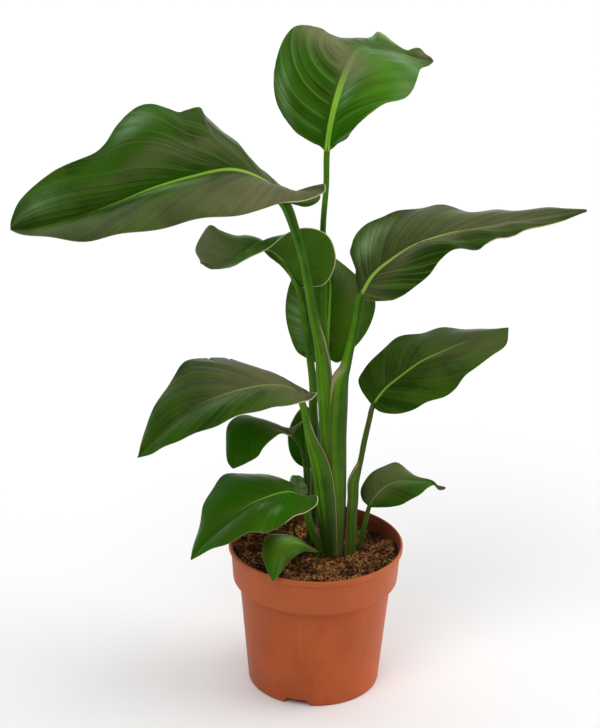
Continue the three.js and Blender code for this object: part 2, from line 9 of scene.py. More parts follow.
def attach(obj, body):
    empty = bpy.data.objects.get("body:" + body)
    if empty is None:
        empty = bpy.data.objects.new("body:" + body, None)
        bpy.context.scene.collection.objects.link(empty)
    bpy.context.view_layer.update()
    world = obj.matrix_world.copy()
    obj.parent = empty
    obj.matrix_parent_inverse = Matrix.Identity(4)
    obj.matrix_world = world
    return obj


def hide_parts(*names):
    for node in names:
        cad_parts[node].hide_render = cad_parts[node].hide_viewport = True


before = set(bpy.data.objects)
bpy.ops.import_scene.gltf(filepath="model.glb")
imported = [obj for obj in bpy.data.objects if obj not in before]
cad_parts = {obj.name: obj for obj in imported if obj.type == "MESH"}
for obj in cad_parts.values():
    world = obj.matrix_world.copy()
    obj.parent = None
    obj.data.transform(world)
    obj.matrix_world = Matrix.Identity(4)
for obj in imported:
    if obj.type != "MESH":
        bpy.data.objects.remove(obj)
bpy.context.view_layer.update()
print("frame loaded,", len(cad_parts), "nodes")


# ---- small helpers ----

def deselectAll():
    if bpy.context.object and bpy.context.object.mode != "OBJECT":
        bpy.ops.object.mode_set(mode="OBJECT")
    bpy.ops.object.select_all(action="DESELECT")


def editAll():
    bpy.ops.object.mode_set(mode="EDIT")
    bpy.ops.mesh.select_all(action="SELECT")


def faceOutwards():
    # turns every face outwards and leaves edit mode
    bpy.ops.mesh.select_all(action="SELECT")
    bpy.ops.mesh.normals_make_consistent(inside=False)
    bpy.ops.object.mode_set(mode="OBJECT")


def settle(piece, name, nodes=()):
    # the piece keeps its place in its mesh, rides with the plant and stands for its solids
    deselectAll()
    piece.select_set(True)
    bpy.context.view_layer.objects.active = piece
    bpy.ops.object.transform_apply(location=True, rotation=True, scale=True)
    piece.name = name
    piece.data.name = name
    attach(piece, "root")
    if nodes:
        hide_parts(*nodes)


def applyModifier(piece, kind, **settings):
    modifier = piece.modifiers.new(kind.title(), kind)
    for key, value in settings.items():
        setattr(modifier, key, value)
    bpy.context.view_layer.objects.active = piece
    bpy.ops.object.modifier_apply(modifier=modifier.name)


def pointsOf(mesh):
    flat = np.empty(len(mesh.vertices) * 3)
    mesh.vertices.foreach_get("co", flat)
    return flat.reshape(-1, 3)


def movePoints(mesh, points):
    mesh.vertices.foreach_set("co", np.ascontiguousarray(points, float).ravel())
    mesh.update()


def storeValues(mesh, name, values):
    layer = mesh.attributes.new(name, "FLOAT", "POINT")
    layer.data.foreach_set("value", np.ascontiguousarray(values, float).ravel())


def smoothCurve(points, perSpan=24):
    # centripetal Catmull-Rom through the points, perSpan samples from each one to the next
    p = np.array(points, float)
    p = np.vstack([2 * p[0] - p[1], p, 2 * p[-1] - p[-2]])
    gaps = np.sqrt(np.linalg.norm(np.diff(p, axis=0), axis=1))
    u = np.linspace(0, 1, perSpan, endpoint=False)[:, None]
    samples = []
    for i in range(1, len(p) - 2):
        before, here, after = gaps[i - 1:i + 2]
        step = p[i + 1] - p[i]
        leave = step + here * ((p[i] - p[i - 1]) / before - (p[i + 1] - p[i - 1]) / (before + here))
        arrive = step + here * ((p[i + 2] - p[i + 1]) / after - (p[i + 2] - p[i]) / (here + after))
        samples.append(p[i] + u * leave + u**2 * (3 * step - 2 * leave - arrive)
                       + u**3 * (leave + arrive - 2 * step))
    return np.vstack([*samples, p[-2]])


def atShare(samples, share):
    # the points at these shares of a curve's length
    lengths = np.linalg.norm(np.diff(samples, axis=0), axis=1)
    along = np.concatenate([[0], np.cumsum(lengths)]) / lengths.sum()
    return np.stack([np.interp(share, along, samples[:, k]) for k in range(samples.shape[1])], -1)


def unit(vectors):
    return vectors / np.maximum(np.linalg.norm(vectors, axis=-1, keepdims=True), 1e-12)


def fade(low, high, value):
    # 0 below low, 1 above high, smooth between
    share = np.clip((value - low) / (high - low), 0, 1)
    return share * share * (3 - 2 * share)


def addGrid(points):
    # a sheet through rows of points, with the row and the column of each of its vertices
    rows, columns = points.shape[0] - 1, points.shape[1] - 1
    deselectAll()
    bpy.ops.mesh.primitive_grid_add(x_subdivisions=columns, y_subdivisions=rows, size=2)
    sheet = bpy.context.object
    flat = pointsOf(sheet.data)
    column = np.rint((flat[:, 0] + 1) / 2 * columns).astype(int)
    row = np.rint((flat[:, 1] + 1) / 2 * rows).astype(int)
    movePoints(sheet.data, points[row, column])
    return sheet, row, column


# ---- material helpers ----

def newMaterial(name, **sockets):
    material = bpy.data.materials.new(name)
    material.use_nodes = True
    shader = material.node_tree.nodes["Principled BSDF"]
    for socket, value in sockets.items():
        shader.inputs[socket.replace("_", " ")].default_value = value
    return material, material.node_tree, shader


def addNode(tree, kind, inputs, **settings):
    made = tree.nodes.new(kind)
    for key, value in settings.items():
        setattr(made, key, value)
    for key, value in inputs.items():
        if isinstance(value, bpy.types.NodeSocket):
            tree.links.new(value, made.inputs[key])
        else:
            made.inputs[key].default_value = value
    return made


def objectPoint(tree):
    return addNode(tree, "ShaderNodeTexCoord", {}).outputs["Object"]


def attribute(tree, name):
    return addNode(tree, "ShaderNodeAttribute", {}, attribute_name=name).outputs["Fac"]


def maths(tree, operation, first, second=0.0):
    return addNode(tree, "ShaderNodeMath", {0: first, 1: second}, operation=operation).outputs[0]


def added(tree, first, *others):
    for other in others:
        first = maths(tree, "ADD", first, other)
    return first


def times(tree, first, second):
    return maths(tree, "MULTIPLY", first, second)


def mottle(tree, where, scale, detail=2.0, roughness=0.5):
    inputs = {"Vector": where, "Scale": scale, "Detail": detail, "Roughness": roughness}
    return addNode(tree, "ShaderNodeTexNoise", inputs).outputs["Fac"]


def streaks(tree, value, scale, detail=2.0):
    # noise along one number, as on parallel veins
    inputs = {"W": value, "Scale": scale, "Detail": detail}
    return addNode(tree, "ShaderNodeTexNoise", inputs, noise_dimensions="1D").outputs["Fac"]


def between(tree, value, low, high, toLow=0.0, toHigh=1.0):
    inputs = {"Value": value, "From Min": low, "From Max": high, "To Min": toLow, "To Max": toHigh}
    return addNode(tree, "ShaderNodeMapRange", inputs, interpolation_type="SMOOTHSTEP").outputs[0]


def swing(tree, pattern, amount, reach=0.2):
    # noise around 0.5 turned into a change of this amount either way
    return between(tree, pattern, 0.5 - reach, 0.5 + reach, -amount, amount)


def mixColour(tree, share, first, second):
    def colour(value):
        return value if isinstance(value, bpy.types.NodeSocket) else (*value, 1.0)
    made = addNode(tree, "ShaderNodeMix", {}, data_type="RGBA")
    for socket, value in ((made.inputs[0], share), (made.inputs[6], colour(first)),
                          (made.inputs[7], colour(second))):
        if isinstance(value, bpy.types.NodeSocket):
            tree.links.new(value, socket)
        else:
            socket.default_value = value
    return made.outputs[2]


def shades(tree, tone, colours, first, steps):
    # the first colour, which passes into each next one between two tones
    colour = colours[first]
    for low, high, following in steps:
        colour = mixColour(tree, between(tree, tone, low, high), colour, colours[following])
    return colour


def bump(tree, height, distance):
    return addNode(tree, "ShaderNodeBump", {"Height": height, "Distance": distance}).outputs["Normal"]


# ---- the pot ----

pot = {
    "sides": 160,
    "innerFloor": 0.0087,  # above the drainage channels
    "corners": [  # radius, height and rounding, from the foot up the outside
        (0.0644, 0, 0.0016), (0.0741, 0.107, 0.0016), (0.0804, 0.110, 0.0014),
        (0.0828, 0.1412, 0.0007), (0.0850, 0.1415, 0.0010), (0.0850, 0.147, 0.0013),
    ],
    "innerCorners": [  # from the lip down the inside
        (0.0829, 0.147, 0.0006), (0.0810, 0.141, 0.001), (0.0786, 0.113, 0.002), (0.0726, 0.110, 0.002),
        (0.0634, 0.0087, 0.003),
    ],
    "roundSteps": 4,
    "flats": (0.004, 0.006),  # the flat discs of the foot and the floor end this far inside their corners
    "channels": 3,
    "channelAngle": -104.5,  # degrees from +X, the one that shows at the front
    "channelFoot": 0.033,
    "channelTop": 0.020,
    "channelHeight": 0.0065,
    "channelStart": 0.024,
    "channelBelow": 0.004,  # the cutter reaches this far below the foot
    "holeSides": 32,
    "holeRadius": 0.005,
    "holeDepth": 1.6,  # in channel heights
    "holeFromAxis": 0.042,
    "edge": 0.0004,
    "edgeAngle": 50,
    "smoothAngle": 35,
    "insideShadeDepth": 0.0011,  # the painted shade of the inside ends this far outside the inner wall
    "insideShadeFrom": (0.01, 0.03),  # the painted shade inside begins between these heights
    "colour": (0.475, 0.099, 0.023),
    "paleColour": (0.54, 0.140, 0.048),
    "deepColour": (0.40, 0.078, 0.017),
    "dustColour": (0.20, 0.115, 0.065),
    # the inner wall's darker colour is painted shade
    "insideShadeColour": (0.13, 0.034, 0.014),
    "insideShadeShare": 0.75,
    "scales": {"clouds": 22, "grain": 2600, "specks": 420},
    "flow": (60, 60, 9),  # streaks drawn out along the height
    "paleShares": {"flow": 0.35, "grain": 0.12, "collar": 0.3},
    "collar": (0.104, 0.114),
    "dust": (0.12, 0.147),  # from where to where it grows towards the lip
    "dustShare": 0.5,
    "roughness": (0.42, 0.55),
    "bump": 0.00003,
}


def potPlastic():
    material, tree, shader = newMaterial("potPlastic", IOR=1.49, Roughness=0.46)
    shader.inputs["Specular IOR Level"].default_value = 0.18
    scales, pale = pot["scales"], pot["paleShares"]
    where = objectPoint(tree)
    height = addNode(tree, "ShaderNodeSeparateXYZ", {"Vector": where}).outputs["Z"]
    cloudy = mottle(tree, where, scales["clouds"], 3)
    flow = addNode(tree, "ShaderNodeMapping", {"Vector": where, "Scale": pot["flow"]})
    flowing = mottle(tree, flow.outputs[0], 1.0, 3, 0.6)
    grain = mottle(tree, where, scales["grain"], 2, 0.6)
    colour = mixColour(tree, between(tree, cloudy, 0.35, 0.7), pot["deepColour"], pot["colour"])
    for share in (between(tree, flowing, 0.5, 0.85, 0, pale["flow"]),
                  between(tree, grain, 0.55, 0.8, 0, pale["grain"]),
                  between(tree, height, *pot["collar"], 0, pale["collar"])):
        colour = mixColour(tree, share, colour, pot["paleColour"])
    specks = between(tree, mottle(tree, where, scales["specks"], 2), 0.6, 0.72)
    dusty = times(tree, specks, between(tree, height, *pot["dust"], 0, pot["dustShare"]))
    colour = mixColour(tree, dusty, colour, pot["dustColour"])
    # the inner wall painted darker: painted shade inside the pot
    inside = times(tree, attribute(tree, "inside"), pot["insideShadeShare"])
    colour = mixColour(tree, inside, colour, pot["insideShadeColour"])
    tree.links.new(colour, shader.inputs["Base Color"])
    tree.links.new(between(tree, cloudy, 0.3, 0.7, *pot["roughness"]), shader.inputs["Roughness"])
    surface = added(tree, grain, times(tree, flowing, 1.5))
    tree.links.new(bump(tree, surface, pot["bump"]), shader.inputs["Normal"])
    return material


def rounded(corners, steps):
    # the profile with each inner corner replaced by a short curve
    path = [corners[0][:2]]
    for (r0, z0, _), (r1, z1, size), (r2, z2, _) in zip(corners, corners[1:], corners[2:]):
        here = Vector((r1, z1))
        start = here + (Vector((r0, z0)) - here).normalized() * size
        end = here + (Vector((r2, z2)) - here).normalized() * size
        for k in range(steps + 1):
            u = k / steps
            path.append(tuple(start * (1 - u)**2 + here * 2 * u * (1 - u) + end * u**2))
    path.append(corners[-1][:2])
    return path


def cutChannel(shell, angle):
    # a channel under the floor, its sides leaning inwards, with a drain hole in its roof
    length = pot["corners"][0][0]
    height = pot["channelHeight"]
    turn = Matrix.Rotation(angle, 4, "Z")
    deselectAll()
    bpy.ops.mesh.primitive_cube_add(size=1)
    prism = bpy.context.object
    points = pointsOf(prism.data)
    top = points[:, 2] > 0
    points[:, 0] = pot["channelStart"] + (points[:, 0] + 0.5) * length
    points[:, 1] *= np.where(top, pot["channelTop"], pot["channelFoot"])
    points[:, 2] = np.where(top, height, -pot["channelBelow"])
    movePoints(prism.data, points)
    prism.data.transform(turn)
    deselectAll()
    place = turn @ Vector((pot["holeFromAxis"], 0, height))
    bpy.ops.mesh.primitive_cylinder_add(vertices=pot["holeSides"], radius=pot["holeRadius"],
                                        depth=height * pot["holeDepth"], location=place)
    hole = bpy.context.object
    for cutter in (prism, hole):
        deselectAll()
        shell.select_set(True)
        applyModifier(shell, "BOOLEAN", object=cutter, operation="DIFFERENCE", solver="EXACT")
        bpy.data.objects.remove(cutter)


def markInsideShade(shell):
    # where the inside is painted darker as shade: 1 on the inner wall, 0 outside it and on the floor
    points = pointsOf(shell.data)
    radii, heights, _ = zip(*reversed(pot["innerCorners"]))
    fromInside = np.hypot(points[:, 0], points[:, 1]) - np.interp(points[:, 2], heights, radii)
    inside = (1 - fade(0.0, pot["insideShadeDepth"], fromInside)) * fade(*pot["insideShadeFrom"], points[:, 2])
    storeValues(shell.data, "inside", inside)


def makePot():
    footInset, floorInset = pot["flats"]
    foot = (pot["corners"][0][0] - footInset, 0, 0)
    floor = (pot["innerCorners"][-1][0] - floorInset, pot["innerFloor"], 0)
    profile = rounded([foot, *pot["corners"], *pot["innerCorners"], floor], pot["roundSteps"])
    deselectAll()
    bpy.ops.mesh.primitive_circle_add(vertices=pot["sides"], radius=profile[0][0], fill_type="NGON")
    shell = bpy.context.object
    editAll()
    for (fromRadius, fromHeight), (radius, height) in zip(profile, profile[1:]):
        rise = {"value": (0, 0, height - fromHeight)}
        bpy.ops.mesh.extrude_region_move(TRANSFORM_OT_translate=rise)
        bpy.ops.transform.resize(value=(radius / fromRadius, radius / fromRadius, 1))
    faceOutwards()
    for k in range(pot["channels"]):
        cutChannel(shell, math.radians(pot["channelAngle"] + 360 / pot["channels"] * k))
    deselectAll()
    shell.select_set(True)
    applyModifier(shell, "BEVEL", width=pot["edge"], segments=2, angle_limit=math.radians(pot["edgeAngle"]))
    bpy.context.view_layer.objects.active = shell
    bpy.ops.object.shade_smooth_by_angle(angle=math.radians(pot["smoothAngle"]))
    markInsideShade(shell)
    shell.data.materials.append(potPlastic())
    settle(shell, "potMoulding", ["pot"])


makePot()
print("pot done")


# ---- the potting mix ----

mix = {
    "radius": 0.0798,  # where its top meets the pot's inner wall
    "profile": [  # radius and height up the pot's inner wall
        (0.0630, 0.0092), (0.0716, 0.107), (0.0722, 0.110), (0.0781, 0.1135), (0.0798, 0.1325),
    ],
    "wall": ((0.113, 0.141, 0.147), (0.0781, 0.0805, 0.0824)),  # heights, and its radius at each
    "level": 0.1325,
    "slope": 0.035,  # rise towards the front
    "mounds": [  # x, y, extra height and reach of each heap
        (0.018, -0.008, 0.004, 0.020), (-0.082, 0.005, 0.005, 0.026),
        (0.082, 0.014, 0.008, 0.020), (-0.015, -0.060, 0.002, 0.030),
    ],
    "lump": 0.0007,
    "lumpLength": 0.007,
    "crumb": 0.0004,
    "crumbLength": 0.0045,
    "rings": 60,
    "sides": 128,
    "rough": 0.0009,
    "roughLengths": (0.006, 0.0022),
    "sunk": 0.0008,  # how far the bed lies under the loose pieces
    "bedTint": 0.25,
    "bedColours": ((0.016, 0.007, 0.004), (0.060, 0.028, 0.012), (0.10, 0.055, 0.028)),
    "grain": 1400,
    "grainTint": 0.12,
    "patches": 50,
    "damp": (-0.35, 0.12),  # change of tint in wet and in dry patches
    "bump": 0.0003,
    "seed": 7,
}


def mixHeight(x, y):
    height = mix["level"] - mix["slope"] * y + mix["crumb"] * np.sin((x - y) / mix["crumbLength"])
    height = height + mix["lump"] * np.sin(x / mix["lumpLength"]) * np.cos(y / mix["lumpLength"])
    for moundX, moundY, rise, reach in mix["mounds"]:
        height = height + rise * np.exp(-((x - moundX)**2 + (y - moundY)**2) / reach**2)
    return height


def spread(height):
    # the pot's wall leans outwards, so a higher place lies further out
    return np.interp(height, *mix["wall"]) / mix["radius"]


def mixMaterial(name, colours):
    # each crumb or fibre has its own tint, from dark peat to pale coir
    material, tree, shader = newMaterial(name, Roughness=0.9)
    shader.inputs["Specular IOR Level"].default_value = 0.1
    where = objectPoint(tree)
    grain = mottle(tree, where, mix["grain"], 3, 0.7)
    damp = between(tree, mottle(tree, where, mix["patches"], 2), 0.40, 0.60, *mix["damp"])
    tint = added(tree, attribute(tree, "tint"), swing(tree, grain, mix["grainTint"]), damp)
    colour = shades(tree, tint, colours, 0, ((0.15, 0.6, 1), (0.62, 1.0, 2)))
    tree.links.new(colour, shader.inputs["Base Color"])
    tree.links.new(bump(tree, grain, mix["bump"]), shader.inputs["Normal"])
    return material


def unevenness(x, y, size):
    across = np.sin(x / size + 1.7 * np.sin(0.8 * y / size))
    return across * np.cos(1.1 * y / size + 1.3 * np.sin(0.7 * x / size))


def makeMixBed():
    deselectAll()
    (radius, height), *higher = mix["profile"]
    bpy.ops.mesh.primitive_circle_add(vertices=mix["sides"], radius=radius, fill_type="NGON",
                                      location=(0, 0, height))
    bed = bpy.context.object
    bpy.ops.object.transform_apply(location=True)
    editAll()
    for nextRadius, nextHeight in higher:
        bpy.ops.mesh.extrude_region_move(TRANSFORM_OT_translate={"value": (0, 0, nextHeight - height)})
        bpy.ops.transform.resize(value=(nextRadius / radius, nextRadius / radius, 1))
        radius, height = nextRadius, nextHeight
    for ring in range(mix["rings"] - 1):
        bpy.ops.mesh.inset(thickness=radius / mix["rings"])
    faceOutwards()
    points = pointsOf(bed.data)
    onTop = points[:, 2] > height - 1e-5
    x, y = points[onTop, 0], points[onTop, 1]
    coarse, fine = (unevenness(x, y, length) for length in mix["roughLengths"])
    top = mixHeight(x, y)
    points[onTop, 0] = x * spread(top)
    points[onTop, 1] = y * spread(top)
    points[onTop, 2] = top + mix["rough"] * (coarse + 0.5 * fine) - mix["sunk"]
    movePoints(bed.data, points)
    storeValues(bed.data, "tint", np.full(len(points), mix["bedTint"]))
    bpy.ops.object.shade_smooth()
    bed.data.materials.append(mixMaterial("pottingMix", mix["bedColours"]))
    settle(bed, "pottingMixBed", ["potting_mix"])


def scattered(template, count, place, name, material):
    # copies of one small shape, each at its own place, size and tint, as one mesh
    source = pointsOf(template.data)
    faces = [tuple(f.vertices) for f in template.data.polygons]
    allPoints, allFaces, tints = [], [], []
    for k in range(count):
        matrix, tint = place()
        turned = source @ np.array(matrix.to_3x3()).T + np.array(matrix.translation)
        allFaces += [tuple(v + k * len(source) for v in face) for face in faces]
        allPoints.append(turned)
        tints.append(np.full(len(source), tint))
    mesh = bpy.data.meshes.new(name)
    mesh.from_pydata(np.vstack(allPoints).tolist(), [], allFaces)
    storeValues(mesh, "tint", np.concatenate(tints))
    piece = bpy.data.objects.new(name, mesh)
    bpy.context.scene.collection.objects.link(piece)
    bpy.data.objects.remove(template)
    mesh.materials.append(material)
    settle(piece, name)


def onMix(dice, reach):
    # a random place on the mix, evenly spread
    radius = reach * math.sqrt(dice.random())
    angle = dice.uniform(0, 2 * math.pi)
    x, y = radius * math.cos(angle), radius * math.sin(angle)
    height = float(mixHeight(x, y))
    return x * spread(height), y * spread(height), height


def placed(x, y, z, turn, size):
    return Matrix.Translation((x, y, z)) @ turn.to_4x4() @ Matrix.Diagonal((*size, 1))


def anyTurn(dice, flat):
    tilt = dice.uniform(-flat, flat)
    roll = dice.uniform(-flat, flat)
    turn = Matrix.Rotation(dice.uniform(0, 2 * math.pi), 3, "Z")
    return turn @ Matrix.Rotation(tilt, 3, "X") @ Matrix.Rotation(roll, 3, "Y")


def mostlySmall(dice, span, skew):
    low, high = span
    return low + (high - low) * dice.random()**skew


# sizes in metres; colours from dark over middle to light; the higher a skew, the more are small
crumb = {
    "count": 2400,
    "size": (0.0006, 0.0027),
    "skew": 2.2,
    "shape": ((0.7, 1.4), (0.6, 1), (0.5, 0.9)),
    "dents": (0.7, 1.15),
    "sunk": (-0.2, 0.5),  # in sizes
    "tilt": 3,
    "colours": ((0.040, 0.016, 0.006), (0.27, 0.108, 0.036), (0.54, 0.25, 0.085)),
}


def makeCrumbs():
    dice = random.Random(mix["seed"])
    deselectAll()
    bpy.ops.mesh.primitive_ico_sphere_add(subdivisions=1, radius=1)
    lump = bpy.context.object
    for vertex in lump.data.vertices:
        vertex.co *= dice.uniform(*crumb["dents"])

    def place():
        size = mostlySmall(dice, crumb["size"], crumb["skew"])
        x, y, z = onMix(dice, mix["radius"] - 0.4 * crumb["size"][1])
        shape = [size * dice.uniform(*span) for span in crumb["shape"]]
        z = z - size * dice.uniform(*crumb["sunk"])
        return placed(x, y, z, anyTurn(dice, crumb["tilt"]), shape), dice.random()

    material = mixMaterial("mixCrumbs", crumb["colours"])
    scattered(lump, crumb["count"], place, "pottingMixCrumbs", material)


fibre = {
    "count": 900,
    "length": (0.004, 0.012),
    "skew": 1.6,
    "radius": (0.00013, 0.0003),
    "bow": 5,  # in thread radii, so short threads bend less
    "bowScale": (0.6, 1.6),
    "taper": 0.65,
    "lift": (0, 0.0012),
    "tilt": 0.35,
    "darkest": 0.35,
    "colours": ((0.03, 0.013, 0.005), (0.19, 0.082, 0.028), (0.50, 0.26, 0.10)),
}


def makeFibres():
    dice = random.Random(mix["seed"] + 1)
    deselectAll()
    bpy.ops.mesh.primitive_cylinder_add(vertices=4, radius=1, depth=2, end_fill_type="NGON")
    thread = bpy.context.object
    editAll()
    for cut in (0, 0.5, -0.5):
        bpy.ops.mesh.select_all(action="SELECT")
        bpy.ops.mesh.bisect(plane_co=(0, 0, cut), plane_no=(0, 0, 1))
    bpy.ops.object.mode_set(mode="OBJECT")
    straight = pointsOf(thread.data)
    lying = np.stack([straight[:, 2], straight[:, 0], straight[:, 1]], -1)
    bend = 1 - lying[:, 0]**2
    lying[:, 1:] *= (1 - fibre["taper"] + fibre["taper"] * bend)[:, None]
    lying[:, 1] += fibre["bow"] * bend
    movePoints(thread.data, lying)

    def place():
        half = 0.5 * mostlySmall(dice, fibre["length"], fibre["skew"])
        radius = dice.uniform(*fibre["radius"])
        x, y, z = onMix(dice, mix["radius"] - half)
        bow = radius * dice.choice((-1, 1))
        shape = (half, bow * dice.uniform(*fibre["bowScale"]), abs(bow))
        z = z + dice.uniform(*fibre["lift"])
        turn = anyTurn(dice, fibre["tilt"])
        return placed(x, y, z, turn, shape), mostlySmall(dice, (fibre["darkest"], 1), 1)

    material = mixMaterial("mixFibres", fibre["colours"])
    scattered(thread, fibre["count"], place, "pottingMixFibres", material)


curl = {
    "count": 2300,
    "radius": (0.0013, 0.0038),
    "skew": 1.5,
    "stretch": (0.7, 1.3),
    "turn": 105,  # degrees to each side
    "steps": 6,
    "thickness": 0.15,
    "opening": 0.25,
    "pitch": 0.35,
    "lift": (-0.0003, 0.0012),
    "tilt": 1.0,
    "darkest": 0.15,
    "tintSkew": 1.4,
    "colours": ((0.055, 0.021, 0.008), (0.36, 0.148, 0.047), (0.66, 0.32, 0.112)),
}


def makeCurls():
    # short coir fibres rolled into open rings
    dice = random.Random(mix["seed"] + 2)
    deselectAll()
    bpy.ops.mesh.primitive_grid_add(x_subdivisions=4, y_subdivisions=curl["steps"], size=2)
    ring = bpy.context.object
    around, along = pointsOf(ring.data)[:, :2].T
    turn = np.radians(curl["turn"]) * along
    thick = curl["thickness"] * np.sqrt(1.05 - along**2)
    radius = 1 + curl["opening"] * along + thick * np.cos(math.pi * around)
    height = thick * np.sin(math.pi * around) + curl["pitch"] * along
    movePoints(ring.data, np.stack([radius * np.sin(turn), radius * np.cos(turn) - 0.4, height], -1))
    editAll()
    bpy.ops.mesh.remove_doubles(threshold=0.001)
    faceOutwards()

    def place():
        size = mostlySmall(dice, curl["radius"], curl["skew"])
        x, y, z = onMix(dice, mix["radius"] - 0.7 * curl["radius"][1])
        shape = (size * dice.uniform(*curl["stretch"]), size * dice.uniform(*curl["stretch"]), size)
        z = z + dice.uniform(*curl["lift"])
        turn = anyTurn(dice, curl["tilt"])
        return placed(x, y, z, turn, shape), mostlySmall(dice, (curl["darkest"], 1), curl["tintSkew"])

    material = mixMaterial("mixCurls", curl["colours"])
    scattered(ring, curl["count"], place, "pottingMixCurls", material)


makeMixBed()
makeCrumbs()
makeFibres()
makeCurls()
print("potting mix done")


# ---- the leaves ----

